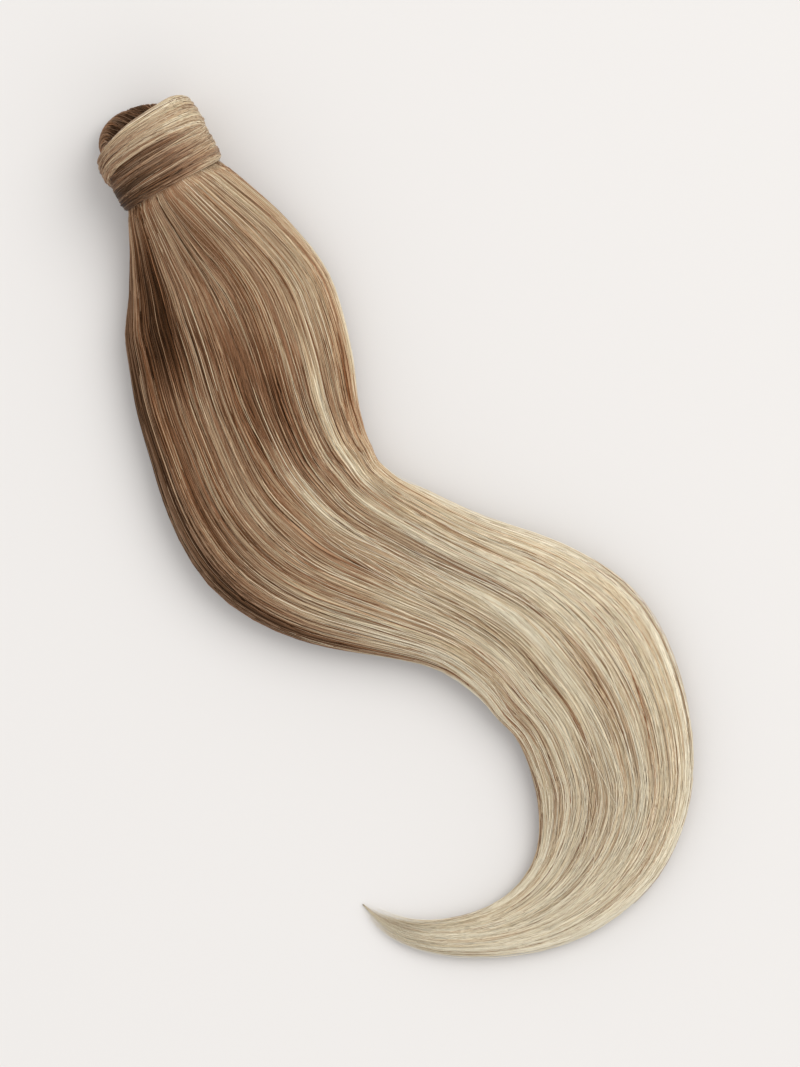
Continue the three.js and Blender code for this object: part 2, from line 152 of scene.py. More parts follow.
TAIL_FLOW = (
    Flow(0.0, -18, 0.49, 0.1),
    Flow(0.05, -8, 0.48, 0.15),
    Flow(0.1, 0, 0.49, 0.2),
    Flow(0.15, 4, 0.5, 0.25),
    Flow(0.2, 7, 0.51, 0.25),
    Flow(0.27, 13, 0.55, 0.2),
    Flow(0.33, 17, 0.62, 0.15),
    Flow(0.38, 16, 0.69, 0.1),
    Flow(0.45, 9, 0.77, 0.0),
    Flow(0.52, 3, 0.8, -0.05),
    Flow(0.6, -3, 0.78, -0.05),
    Flow(0.68, 2, 0.76, -0.1),
    Flow(0.73, 7, 0.77, -0.15),
    Flow(0.8, 5, 0.82, -0.25),
    Flow(1.0, 0, 0.92, -0.5),
)


@dataclass(frozen=True)
class Streak:
    """A lighter or darker stretch of hair; those along the tail's edges and underside are painted shade and
    painted highlights.

    Args:
        start: Share of the tail's length where it comes up.
        end: Share of the tail's length where it has faded.
        place: Degrees round the tail where it lies, in the hair's own flow.
        wide: Degrees on either side of that.
        shade: How much lighter or darker it is.
        warmth: Above 0 is redder, below 0 is greyer.
    """

    start: float
    end: float
    place: float
    wide: float
    shade: float
    warmth: float = 0.0


TAIL_STREAKS = (
    Streak(-0.1, 0.24, 42, 30, 0.17),
    Streak(0.0, 0.2, 132, 15, -0.28),
    Streak(-0.1, 0.25, 140, 28, -0.1),
    Streak(0.11, 0.3, 98, 9, -0.15),
    Streak(0.16, 0.31, 82, 4, -0.24),
    Streak(0.08, 0.44, 151, 15, -0.12),
    Streak(0.08, 0.3, 33, 13, -0.04, 0.2),
    # Painted shade along the left-hand edge, the curl's inner edge and the underside, and a painted
    # highlight along the right-hand edge near the root.
    Streak(0.26, 0.54, 172, 14, -0.32),
    Streak(-0.05, 0.44, 172, 15, -0.24, -0.3),
    Streak(0.5, 0.97, 176, 12, -0.28, 0.1),
    Streak(-0.05, 0.97, 210, 34, -0.38, -0.4),
    Streak(-0.05, 0.44, 4, 16, 0.13, -0.5),
    Streak(0.18, 0.34, 144, 10, -0.05, 0.1),
    Streak(0.43, 0.64, 107, 7, -0.16, 0.1),
    Streak(0.57, 0.7, 85, 4, -0.17, 0.3),
    Streak(0.36, 0.58, 81, 6, -0.1, -0.3),
    Streak(0.13, 0.4, 60, 3.6, 0.32, -0.2),
    Streak(0.21, 0.4, 96, 4, 0.14),
    Streak(0.29, 0.5, 138, 4, 0.17, -0.2),
    Streak(0.38, 0.62, 68, 4, 0.16, -0.2),
    Streak(0.43, 0.67, 92, 4, 0.15, -0.2),
    Streak(0.48, 0.74, 114, 6, 0.1),
    Streak(0.52, 0.66, 139, 6, -0.14, -0.2),
    Streak(0.58, 0.84, 150, 9, -0.1),
    Streak(0.32, 0.44, 108, 4, -0.14),
    Streak(0.36, 0.58, 58, 3, -0.12, 0.3),
    # A painted highlight along the right-hand edge of the curl.
    Streak(0.36, 1.0, 10, 12, 0.03, -0.3),
    Streak(0.3, 0.46, 90, 2, -0.12, 0.4),
    Streak(0.6, 0.76, 63, 3, -0.14, 0.2),
    Streak(0.62, 0.82, 74, 3, 0.12, -0.2),
    Streak(0.62, 0.84, 108, 5, -0.18),
    Streak(0.64, 0.9, 122, 4, 0.13, -0.2),
    Streak(0.6, 0.88, 138, 4, -0.14),
    Streak(0.66, 0.9, 80, 3, 0.12, -0.2),
    Streak(0.66, 0.88, 52, 6, -0.13),
    Streak(0.68, 0.93, 92, 4, -0.14, 0.2),
)


@dataclass(frozen=True)
class TurnEdge:
    """One place along a turn of the wound strand.

    Args:
        turn: Turns from the left-hand side of the root, over the top.
        low: Lower edge, as a share of the wound strand's length along the root.
        high: Upper edge, as such a share.
        build: Height of its outside, as a share of the wound strand's thickness.
        shade: How light its hair is there.
    """

    turn: float
    low: float
    high: float
    build: float
    shade: float


LOWER_ROWS = (
    TurnEdge(0.68, 0.12, 0.44, 0.3, 0.3),
    TurnEdge(0.8, 0.02, 0.4, 0.6, 0.14),
    TurnEdge(1.0, 0.01, 0.36, 0.72, 0.04),
    TurnEdge(1.2, 0.01, 0.44, 0.76, 0.19),
    TurnEdge(1.42, 0.01, 0.51, 0.78, 0.56),
    TurnEdge(1.64, 0.08, 0.56, 0.8, 0.55),
    TurnEdge(1.72, 0.16, 0.56, 0.6, 0.5),
)
# The middle turn is set dark: partly its own darker hair, partly painted shade under the upper turn's lower
# edge.
MIDDLE_ROWS = (
    TurnEdge(1.86, 0.16, 0.46, 0.3, 0.22),
    TurnEdge(1.98, 0.18, 0.54, 0.68, 0.22),
    TurnEdge(2.12, 0.22, 0.6, 0.76, 0.24),
    TurnEdge(2.25, 0.26, 0.64, 0.8, 0.3),
    TurnEdge(2.38, 0.28, 0.62, 0.78, 0.54),
    TurnEdge(2.56, 0.3, 0.58, 0.4, 0.5),
)
UPPER_ROWS = (
    TurnEdge(1.58, 0.12, 0.5, 0.6, 0.44),
    TurnEdge(1.66, 0.12, 0.62, 0.84, 0.42),
    TurnEdge(1.82, 0.26, 0.66, 0.9, 0.36),
    TurnEdge(2.0, 0.34, 0.7, 0.97, 0.38),
    TurnEdge(2.12, 0.48, 0.8, 1.0, 0.46),
    TurnEdge(2.25, 0.52, 0.91, 1.0, 0.58),
    TurnEdge(2.37, 0.48, 0.94, 0.96, 0.68),
    TurnEdge(2.5, 0.42, 0.87, 0.92, 0.6),
    TurnEdge(2.7, 0.44, 0.84, 0.9, 0.5),
    TurnEdge(2.84, 0.5, 0.74, 0.34, 0.45),
)


@dataclass(frozen=True)
class Turn:
    """One outer turn of the wound strand.

    Args:
        name: The turn's name.
        rows: Its places.
        low_edge: Thickness at its lower edge, as a share of its build.
        high_edge: Thickness at its upper edge, as such a share.
        strands: Number of strands that lie on it.
        seed: Fixes its chances.
    """

    name: str
    rows: tuple[TurnEdge, ...]
    low_edge: float
    high_edge: float
    strands: int
    seed: int


WRAP_TURNS = (
    Turn("wrap_lower", LOWER_ROWS, 0.5, 0.35, 650, 21),
    Turn("wrap_middle", MIDDLE_ROWS, 0.3, 0.3, 260, 23),
    Turn("wrap_upper", UPPER_ROWS, 0.3, 0.4, 900, 22),
)


def column_at(rows: Sequence[object], key: str, name: str, places: np.ndarray) -> np.ndarray:
    """Reads a table's column on a smooth curve that never overshoots its rows.

    Args:
        rows: The table's rows, in the order of their key.
        key: Name of the field that the places are measured in.
        name: Name of the field to read.
        places: Where to read it.

    Returns:
        One value for each place.
    """
    keys = np.array([getattr(row, key) for row in rows], float)
    values = np.array([getattr(row, name) for row in rows], float)
    steps = np.diff(keys)
    slopes = np.diff(values) / steps
    before, after = slopes[:-1], slopes[1:]
    near, far = 2 * steps[1:] + steps[:-1], steps[1:] + 2 * steps[:-1]
    same_way = before * after > 0
    mixed = near / np.where(same_way, before, 1.0) + far / np.where(same_way, after, 1.0)
    inner = np.where(same_way, (near + far) / np.where(same_way, mixed, 1.0), 0.0)
    tangents = np.concatenate(([slopes[0]], inner, [slopes[-1]]))
    row = np.clip(np.searchsorted(keys, places, side="right") - 1, 0, len(steps) - 1)
    t = np.clip((places - keys[row]) / steps[row], 0, 1)
    square, cube = t * t, t * t * t
    return (
        (2 * cube - 3 * square + 1) * values[row]
        + (cube - 2 * square + t) * steps[row] * tangents[row]
        + (3 * square - 2 * cube) * values[row + 1]
        + (cube - square) * steps[row] * tangents[row + 1]
    )


def rounded(value: np.ndarray, power: float) -> np.ndarray:
    """A sine or cosine pushed outwards, so that a circle becomes a squarer oval."""
    return np.sign(value) * np.abs(value) ** (2 / power)


def smooth_step(value: np.ndarray) -> np.ndarray:
    """0 below 0, 1 above 1, and an S between them."""
    t = np.clip(value, 0, 1)
    return t * t * (3 - 2 * t)


def unit(vectors: np.ndarray) -> np.ndarray:
    """The vectors at length 1."""
    return vectors / np.maximum(np.linalg.norm(vectors, axis=-1, keepdims=True), 1e-12)


@dataclass(frozen=True)
class Section:
    """Sizes of ovals, each an array or one number, in millimetres."""

    half: np.ndarray
    top: np.ndarray
    belly: np.ndarray
    under: np.ndarray
    pressed: np.ndarray


@dataclass(frozen=True)
class RootForm:
    """The root's oval, which every layer of the root is worked out from."""

    width: float = 43.6
    height: float = 31.6
    wall: float = 4.5
    underside: float = 5.2
    oval_power: float = 2.3
    clearance: float = 0.3
    lip_top: float = 28.0
    lip_reach: float = 13.0
    lip_turn: float = math.radians(105)
    lip_power: float = 1.2
    slope_step: float = 0.02

    @property
    def axis_z(self) -> float:
        """Height of the root's axis."""
        return self.underside + self.height / 2

    def section(self, grow: np.ndarray) -> Section:
        """The root's oval, grown or shrunk all round.

        Args:
            grow: How far outside the root's own hair.

        Returns:
            The oval's sizes.
        """
        return Section(
            half=self.width / 2 + grow,
            top=self.underside + self.height + grow,
            belly=self.axis_z + 0 * grow,
            under=self.underside - grow,
            pressed=1 + 0 * grow,
        )

    def oval(self, section: Section, angle: np.ndarray) -> tuple[np.ndarray, np.ndarray]:
        """Places on an oval that may be pressed flat underneath.

        Args:
            section: The oval's sizes.
            angle: Where round it, from the right over the top.

        Returns:
            How far across and how high each place is.
        """
        up = rounded(np.sin(angle), self.oval_power)
        above = section.top - section.belly
        below = (section.belly - section.under) * section.pressed
        height = section.belly + np.where(up > 0, above, below) * up
        return section.half * rounded(np.cos(angle), self.oval_power), np.maximum(height, section.under)

    def lip(self, angle: np.ndarray) -> np.ndarray:
        """How far the root's hair reaches towards the mouth, which is cut back on its upper side."""
        facing = np.maximum(0, np.cos(angle + self.lip_turn))
        return self.lip_top + self.lip_reach * facing**self.lip_power

    def surface(
        self, along: np.ndarray, angle: np.ndarray, grow: np.ndarray
    ) -> tuple[np.ndarray, np.ndarray]:
        """Places on a layer of the root.

        Args:
            along: Distance from the wound strand's lower edge towards the mouth.
            angle: Where round the root, from the right over the top.
            grow: How far outside the root's own hair.

        Returns:
            The places and the outward directions there.
        """
        across, height = self.oval(self.section(grow), angle)
        ahead = self.oval(self.section(grow), angle + self.slope_step)
        behind = self.oval(self.section(grow), angle - self.slope_step)
        out = unit(np.stack([ahead[1] - behind[1], 0 * across, behind[0] - ahead[0]], axis=-1))
        return np.stack([across, along + 0 * across, height], axis=-1), out


@dataclass(frozen=True)
class TailForm:
    """The tail's path and sections, from the wound strand's lower edge to the tip."""

    root: RootForm
    length: float = 510.0
    width: float = 100.0
    depth: float = 30.0
    pressed: float = 1.14
    easing: float = 0.05
    path_steps: int = 400
    floor_gap: float = 0.35
    slope_step: float = 0.03
    tip_stretch: float = 0.1
    tip_from: float = 0.82
    tip_over: float = 0.06

    def heading(self, at: np.ndarray) -> np.ndarray:
        """Direction of the hair in plan, in radians."""
        return np.radians(column_at(TAIL_SECTIONS, "at", "heading", np.clip(at, 0, 1)))

    def path(self, at: np.ndarray) -> tuple[np.ndarray, np.ndarray]:
        """The middle line in plan, which runs straight on into the root before its start.

        Args:
            at: Share of the tail's length.

        Returns:
            How far across and how far along each place is, in millimetres.
        """
        middles = (np.arange(self.path_steps) + 0.5) / self.path_steps
        heading = self.heading(middles)
        stretch = self.tip_stretch * smooth_step((middles - self.tip_from) / self.tip_over)
        stride = self.length / self.path_steps * (1 + stretch)
        x = np.concatenate(([0.0], np.cumsum(np.cos(heading) * stride)))
        y = np.concatenate(([0.0], np.cumsum(np.sin(heading) * stride)))
        places = np.linspace(0, 1, self.path_steps + 1)
        return np.interp(at, places, x), np.interp(at, places, y) + np.maximum(0, -at) * self.length

    def section(self, at: np.ndarray) -> Section:
        """The tail's oval.

        Args:
            at: Share of the tail's length.

        Returns:
            The oval's sizes.
        """
        names = ("half", "top", "belly", "root")
        columns = {name: column_at(TAIL_SECTIONS, "at", name, at) for name in names}
        root = columns["root"]
        root_top = self.root.underside + self.root.height
        return Section(
            half=columns["half"] * self.width / 2,
            top=columns["top"] * self.depth * (1 - root) + root_top * root,
            belly=columns["belly"] * self.depth * (1 - root) + self.root.axis_z * root,
            under=self.root.underside * root,
            pressed=1 + (self.pressed - 1) * (1 - root),
        )

    def surface(self, at: np.ndarray, angle: np.ndarray, lift: np.ndarray) -> tuple[np.ndarray, np.ndarray]:
        """Places on the tail or a little off it.

        Args:
            at: Share of the tail's length.
            angle: Where round the section, from the right-hand edge over the top.
            lift: Distance out of the section.

        Returns:
            The places and the outward directions there.
        """
        section = self.section(at)
        across, height = self.root.oval(section, angle)
        ahead = self.root.oval(section, angle + self.slope_step)
        behind = self.root.oval(section, angle - self.slope_step)
        out = unit(np.stack([ahead[1] - behind[1], behind[0] - ahead[0]], axis=-1))
        across = across + out[..., 0] * lift
        height = np.maximum(height + out[..., 1] * lift, self.floor_gap)
        facing = sum(self.heading(at + shift) for shift in (-self.easing, 0.0, self.easing)) / 3
        x, y = self.path(at)
        side_x, side_y = -np.sin(facing), np.cos(facing)
        places = np.stack([x + side_x * across, y + side_y * across, height], axis=-1)
        return places, np.stack([side_x * out[..., 0], side_y * out[..., 0], out[..., 1]], axis=-1)


@dataclass(frozen=True)
class LockLevel:
    """Locks of one size: how many lie round the tail, how far they stand out, and how they wander."""

    count: int
    rise: float
    wander: float
    seed: int
    tone: float


@dataclass(frozen=True)
class LockRelief:
    """The rise and fall of the hair's surface, from wide locks down to single wisps."""

    levels: tuple[LockLevel, ...] = (
        LockLevel(count=26, rise=0.7, wander=4.0, seed=3, tone=0.02),
        LockLevel(count=84, rise=0.22, wander=2.0, seed=5, tone=0.03),
        LockLevel(count=420, rise=0.12, wander=1.2, seed=8, tone=0.06),
    )
    widths: tuple[float, float] = (0.55, 1.6)
    strengths: tuple[float, float] = (0.5, 1.15)
    bends: int = 4
    bend_rate: float = 0.6
    swell: float = 0.25
    swell_rate: float = 2.2
    middle: float = 0.75
    furrow_painted_shade: float = 0.5

    def read(self, level: LockLevel, at: np.ndarray, place: np.ndarray) -> tuple[np.ndarray, np.ndarray]:
        """Reads one level.

        Args:
            level: Which locks.
            at: Share of the tail's length.
            place: Degrees round the tail, in the hair's own flow.

        Returns:
            How far each place stands out, and how much lighter its lock is, with painted shade in the
            furrows between locks.
        """
        chance = np.random.default_rng(level.seed)
        widths = chance.uniform(*self.widths, level.count)
        edges = np.concatenate(([0.0], np.cumsum(widths))) / widths.sum() * 360
        strength = chance.uniform(*self.strengths, level.count)
        tone = chance.normal(0, level.tone, level.count)
        phase = chance.uniform(0, 2 * math.pi, level.count)
        bends = chance.uniform(0, 2 * math.pi, self.bends)
        moved = place.astype(float)
        for turns, bend in enumerate(bends, start=1):
            along = 2 * math.pi * (turns * self.bend_rate * at)
            moved = moved + level.wander / turns * np.sin(along + np.radians(place) * (turns + 1) + bend)
        moved = np.mod(moved, 360)
        lock = np.clip(np.searchsorted(edges, moved, side="right") - 1, 0, level.count - 1)
        t = (moved - edges[lock]) / (edges[lock + 1] - edges[lock])
        dome = np.sqrt(np.clip(4 * t * (1 - t), 0, 1))
        wave = np.sin(2 * math.pi * self.swell_rate * at + phase[lock])
        swell = 1 - self.swell + self.swell * wave
        height = level.rise * strength[lock] * swell * (dome - self.middle)
        # Each lock's own tone, with painted shade darkening it towards the furrows between locks.
        return height, tone[lock] * dome - self.furrow_painted_shade * level.tone * (1 - dome)

    def height(self, at: np.ndarray, place: np.ndarray, levels: int) -> np.ndarray:
        """How far the surface stands out, with only the widest levels counted."""
        return sum(self.read(level, at, place)[0] for level in self.levels[:levels])

    def tone(self, at: np.ndarray, place: np.ndarray, levels: int) -> np.ndarray:
        """How much lighter the hair is than its neighbours, with painted shade in the furrows between locks.
        """
        return sum(self.read(level, at, place)[1] for level in self.levels[:levels])


@dataclass(frozen=True)
class HairTone:
    """How light and how warm the tail's hair is at each place, with painted shade in the locks' furrows,
    along its left-hand and inner edges and underneath, and painted highlights along its right-hand edge.
    """

    relief: LockRelief
    streaks: tuple[Streak, ...] = TAIL_STREAKS
    pale_contrast: float = 0.7
    pale_from: float = 0.4
    pale_over: float = 0.2
    patch: float = 0.15
    patch_waves: tuple[tuple[int, int], ...] = ((5, 7), (11, -9))
    fade: float = 0.35

    def read(self, at: np.ndarray, place: np.ndarray, levels: int) -> tuple[np.ndarray, np.ndarray]:
        """Reads the tone.

        Args:
            at: Share of the tail's length.
            place: Degrees round the tail, in the hair's own flow.
            levels: How many levels of locks take part.

        Returns:
            Shade and warmth.
        """
        contrast = 1 + self.pale_contrast * smooth_step((at - self.pale_from) / self.pale_over)
        shade = column_at(TAIL_FLOW, "at", "shade", np.clip(at, 0, 1))
        shade = shade + self.relief.tone(at, place, levels) * contrast
        around = np.radians(place)
        patches = math.prod(np.sin(around * turns + waves * at) for turns, waves in self.patch_waves)
        warmth = column_at(TAIL_FLOW, "at", "warmth", np.clip(at, 0, 1)) + self.patch * patches
        for streak in self.streaks:
            away = (np.mod(place - streak.place + 180, 360) - 180) / streak.wide
            fading = self.fade * (streak.end - streak.start)
            comes = smooth_step((at - streak.start) / fading)
            goes = smooth_step((streak.end - at) / fading)
            strength = np.exp(-away * away) * comes * goes
            shade = shade + strength * streak.shade
            warmth = warmth + strength * streak.warmth
        return shade, warmth


@dataclass(frozen=True)
class Placement:
    """Where the root's own millimetres lie in the frame, read from the band inside it."""

    x: float
    y: float
    z: float

    @classmethod
    def from_band(cls, root: RootForm) -> "Placement":
        """The place of the wound strand's lower edge on the root's axis.

        Args:
            root: The root, whose clearance lies below the band.

        Returns:
            The placement, in metres.
        """
        low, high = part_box(CadNode.BAND.value)
        return cls((low.x + high.x) / 2, low.y - root.clearance * MM, 0.0)

    def apply(self, places: np.ndarray) -> np.ndarray:
        """Millimetres of the root turned into metres of the frame."""
        return places * MM + np.array([self.x, self.y, self.z])


@dataclass(frozen=True)
class SkinMaker:
    """Makes a smooth closed skin through rings of places."""

    placement: Placement

    def build(self, name: str, rings: np.ndarray, shade: np.ndarray, warmth: np.ndarray) -> bpy.types.Object:
        """Wraps a grid round the rings and closes its seam and its ends.

        Args:
            name: The new piece's name.
            rings: Places in millimetres, as ring, side and axis.
            shade: How light each place is.
            warmth: How warm each place is.

        Returns:
            The new piece.
        """
        count, sides = rings.shape[:2]
        order = np.concatenate([np.arange(sides), [0]])
        places = self.placement.apply(rings[:, order]).reshape(-1, 3)
        shades = shade[:, order].reshape(-1)
        warmths = warmth[:, order].reshape(-1)
        bm = bmesh.new()
        bm.loops.layers.uv.new(UV_NAME)
        bmesh.ops.create_grid(bm, x_segments=sides, y_segments=count - 1, size=1, calc_uvs=True)
        shade_layer = bm.verts.layers.float.new(SHADE)
        warmth_layer = bm.verts.layers.float.new(WARMTH)
        for vert, place, light, warm in zip(bm.verts, places, shades, warmths, strict=True):
            vert.co = place
            vert[shade_layer] = light
            vert[warmth_layer] = warm
        seam = [vert for vert in bm.verts if vert.is_boundary]
        bmesh.ops.remove_doubles(bm, verts=seam, dist=SEAM_GAP)
        rims = [edge for edge in bm.edges if edge.is_boundary]
        bmesh.ops.holes_fill(bm, edges=rims, sides=0)
        bmesh.ops.recalc_face_normals(bm, faces=bm.faces)
        for face in bm.faces:
            face.smooth = True
        return finish_mesh(name, bm)


def finish_mesh(name: str, bm: bmesh.types.BMesh) -> bpy.types.Object:
    """Turns a bmesh into an object in the scene and frees it.

    Args:
        name: The new piece's name.
        bm: The finished bmesh.

    Returns:
        The new piece.
    """
    mesh = bpy.data.meshes.new(name)
    bm.to_mesh(mesh)
    bm.free()
    piece = bpy.data.objects.new(name, mesh)
    bpy.context.scene.collection.objects.link(piece)
    return piece


@dataclass(frozen=True)
class StrandMaker:
    """Joins many thin hairs into one mesh: three-sided tubes that taper at both ends."""

    placement: Placement
    sides: int = 3
    columns: int = 8
    strip_ends: float = 0.03
    strip_rims: float = 0.15

    def build(
        self,
        name: str,
        places: np.ndarray,
        out: np.ndarray,
        widths: np.ndarray,
        shade: np.ndarray,
        warmth: np.ndarray,
    ) -> bpy.types.Object:
        """Makes the hairs.

        Args:
            name: The new piece's name.
            places: Middle of each hair in millimetres, as hair, step and axis.
            out: Outward direction at each place.
            widths: Width of each hair at each step, in millimetres.
            shade: How light each hair is at each step.
            warmth: How warm each hair is at each step.

        Returns:
            The new piece.
        """
        hairs, steps = places.shape[:2]
        ahead = unit(np.gradient(places, axis=1))
        aside = unit(np.cross(ahead, out))
        upward = np.cross(aside, ahead)
        turns = math.pi / 2 + 2 * math.pi * np.arange(self.sides) / self.sides
        ring = (
            np.cos(turns)[None, None, :, None] * aside[:, :, None, :]
            + np.sin(turns)[None, None, :, None] * upward[:, :, None, :]
        )
        corners = places[:, :, None, :] + ring * (widths / 2)[:, :, None, None]
        index = np.arange(hairs * steps * self.sides).reshape(hairs, steps, self.sides)
        onward = np.roll(index, -1, axis=2)
        corners_of_walls = (index[:, :-1], index[:, 1:], onward[:, 1:], onward[:, :-1])
        walls = np.stack(corners_of_walls, axis=-1).reshape(-1, 4)
        starts, ends = index[:, 0], index[:, -1, ::-1]
        loops = np.concatenate([walls.ravel(), starts.ravel(), ends.ravel()])
        sizes = np.concatenate([np.full(len(walls), 4), np.full(2 * hairs, self.sides)])
        mesh = bpy.data.meshes.new(name)
        mesh.vertices.add(index.size)
        mesh.vertices.foreach_set("co", self.placement.apply(corners).astype(np.float32).ravel())
        mesh.loops.add(len(loops))
        mesh.loops.foreach_set("vertex_index", loops.astype(np.int32))
        mesh.polygons.add(len(sizes))
        loop_starts = np.concatenate(([0], np.cumsum(sizes)[:-1]))
        mesh.polygons.foreach_set("loop_start", loop_starts.astype(np.int32))
        mesh.polygons.foreach_set("use_smooth", np.ones(len(sizes), bool))
        mesh.update(calc_edges=True)
        self.write_values(mesh, SHADE, shade)
        self.write_values(mesh, WARMTH, warmth)
        uv = self.strips(hairs, steps, len(walls))
        layer = mesh.uv_layers.new(name=UV_NAME)
        layer.data.foreach_set("uv", uv.astype(np.float32).ravel())
        piece = bpy.data.objects.new(name, mesh)
        bpy.context.scene.collection.objects.link(piece)
        return piece

    def write_values(self, mesh: bpy.types.Mesh, name: str, values: np.ndarray) -> None:
        """Writes one number a step onto all corners of the hairs' rings."""
        attribute = mesh.attributes.new(name=name, type="FLOAT", domain="POINT")
        attribute.data.foreach_set("value", np.repeat(values.astype(np.float32).ravel(), self.sides))

    def strips(self, hairs: int, steps: int, walls: int) -> np.ndarray:
        """Gives each hair its own strip of the UV map.

        Args:
            hairs: Number of hairs.
            steps: Places along each.
            walls: Number of four-sided faces.

        Returns:
            One place on the map for each corner of each face.
        """
        rows = math.ceil(hairs / self.columns)
        hair = np.arange(hairs)
        left = (hair % self.columns) / self.columns
        low = (hair // self.columns) / rows
        share = np.linspace(self.strip_ends, 1 - self.strip_ends, steps) / self.columns
        u = left[:, None] + share[None, :]
        near, far = low + self.strip_rims / rows, low + (1 - self.strip_rims) / rows
        shape = (hairs, steps - 1, self.sides)
        before = np.broadcast_to(u[:, :-1, None], shape)
        after = np.broadcast_to(u[:, 1:, None], shape)
        bottom = np.broadcast_to(near[:, None, None], shape)
        top = np.broadcast_to(far[:, None, None], shape)
        wall = np.stack(
            [
                np.stack([before, bottom], axis=-1),
                np.stack([after, bottom], axis=-1),
                np.stack([after, top], axis=-1),
                np.stack([before, top], axis=-1),
            ],
            axis=3,
        ).reshape(walls * 4, 2)
        cap = np.repeat(np.stack([u[:, 0], (near + far) / 2], axis=-1), self.sides, axis=0)
        end = np.repeat(np.stack([u[:, -1], (near + far) / 2], axis=-1), self.sides, axis=0)
        return np.concatenate([wall, cap, end])


@dataclass(frozen=True)
class Paint:
    """A colour as it shows, from 0 to 255."""

    red: float
    green: float
    blue: float

    def linear(self) -> tuple[float, float, float, float]:
        """The colour for a shader.

        Returns:
            Red, green, blue and 1, on the shader's own scale.
        """
        shares = [value / 255 for value in (self.red, self.green, self.blue)]
        red, green, blue = (
            share / 12.92 if share < 0.04045 else ((share + 0.055) / 1.055) ** 2.4 for share in shares
        )
        return (red, green, blue, 1.0)


class NodeBench:
    """Short ways to add nodes to one tree."""

    def __init__(self, tree: bpy.types.NodeTree) -> None:
        """Keeps the tree."""
        self.tree = tree

    def add(self, kind: str, **settings: object) -> bpy.types.Node:
        """Adds a node and sets its properties.

        Args:
            kind: The node's type.
            settings: Names and values of its properties.

        Returns:
            The node.
        """
        node = self.tree.nodes.new(kind)
        for name, value in settings.items():
            setattr(node, name, value)
        return node

    def join(self, output: bpy.types.NodeSocket, socket: bpy.types.NodeSocket) -> None:
        """Links two sockets."""
        self.tree.links.new(output, socket)

    def math(self, operation: str, first: object, second: object = 0.0) -> bpy.types.NodeSocket:
        """Works out one number from two sockets or numbers.

        Args:
            operation: Name of the Math node's operation.
            first: A socket or a number.
            second: A socket or a number.

        Returns:
            The node's output.
        """
        node = self.add("ShaderNodeMath", operation=operation)
        for socket, value in zip(node.inputs, (first, second)):
            if isinstance(value, bpy.types.NodeSocket):
                self.join(value, socket)
            else:
                socket.default_value = value
        return node.outputs[0]

    def ramp(
        self, value: bpy.types.NodeSocket, stops: Sequence[tuple[float, Paint]]
    ) -> bpy.types.NodeSocket:
        """Turns a number into a colour.

        Args:
            value: The number's socket.
            stops: Places and colours.

        Returns:
            The colour's output.
        """
        node = self.add("ShaderNodeValToRGB")
        elements = node.color_ramp.elements
        while len(elements) < len(stops):
            elements.new(0.5)
        for element, (place, paint) in zip(elements, stops):
            element.position = place
            element.color = paint.linear()
        self.join(value, node.inputs["Fac"])
        return node.outputs["Color"]

    def noise(self, place: bpy.types.NodeSocket, scale: float, detail: float = 2.0) -> bpy.types.Node:
        """Adds a noise pattern.

        Args:
            place: The socket that it reads its place from.
            scale: How fine it is.
            detail: How many finer layers it has.

        Returns:
            The node.
        """
        node = self.add("ShaderNodeTexNoise")
        node.inputs["Scale"].default_value = scale
        node.inputs["Detail"].default_value = detail
        self.join(place, node.inputs["Vector"])
        return node

    def bump(self, height: bpy.types.NodeSocket, strength: float, distance: float) -> bpy.types.NodeSocket:
        """Adds a bump.

        Args:
            height: The socket that holds the height.
            strength: How strong it is.
            distance: How high it is, in metres.

        Returns:
            The normal's output.
        """
        node = self.add("ShaderNodeBump")
        node.inputs["Strength"].default_value = strength
        node.inputs["Distance"].default_value = distance
        self.join(height, node.inputs["Height"])
        return node.outputs["Normal"]


def new_material(name: str) -> tuple[bpy.types.Material, NodeBench, bpy.types.Node]:
    """A material with only its Principled shader and its output.

    Args:
        name: The material's name.

    Returns:
        The material, its bench and its shader.
    """
    material = bpy.data.materials.new(name)
    material.use_nodes = True
    tree = material.node_tree
    tree.nodes.clear()
    bench = NodeBench(tree)
    shader = bench.add("ShaderNodeBsdfPrincipled")
    output = bench.add("ShaderNodeOutputMaterial")
    bench.join(shader.outputs["BSDF"], output.inputs["Surface"])
    return material, bench, shader


@dataclass(frozen=True)
class HairColours:
    """Colours of the hair from its darkest to its lightest, as a node group that all hair shares."""

    stops: tuple[tuple[float, Paint], ...] = (
        (0.0, Paint(46, 29, 17)),
        (0.2, Paint(98, 70, 49)),
        (0.4, Paint(155, 118, 90)),
        (0.6, Paint(191, 164, 133)),
        (0.8, Paint(219, 203, 171)),
        (1.0, Paint(240, 230, 206)),
    )
    turn: float = 0.012
    richer: float = 0.25

    def build(self) -> bpy.types.ShaderNodeTree:
        """Builds the group: shade, warmth and lift go in, a colour comes out.

        Returns:
            The group.
        """
        group = bpy.data.node_groups.new("hair_colours", "ShaderNodeTree")
        for name in ("Shade", "Warmth", "Lift"):
            group.interface.new_socket(name=name, in_out="INPUT", socket_type="NodeSocketFloat")
        group.interface.new_socket(name="Color", in_out="OUTPUT", socket_type="NodeSocketColor")
        bench = NodeBench(group)
        entry = bench.add("NodeGroupInput")
        shade = bench.math("ADD", entry.outputs["Shade"], entry.outputs["Lift"])
        colour = bench.ramp(shade, self.stops)
        adjust = bench.add("ShaderNodeHueSaturation")
        warmth = entry.outputs["Warmth"]
        hue = bench.math("SUBTRACT", 0.5, bench.math("MULTIPLY", warmth, self.turn))
        richness = bench.math("ADD", 1.0, bench.math("MULTIPLY", warmth, self.richer))
        bench.join(hue, adjust.inputs["Hue"])
        bench.join(richness, adjust.inputs["Saturation"])
        bench.join(colour, adjust.inputs["Color"])
        leave = bench.add("NodeGroupOutput")
        bench.join(adjust.outputs["Color"], leave.inputs["Color"])
        return group


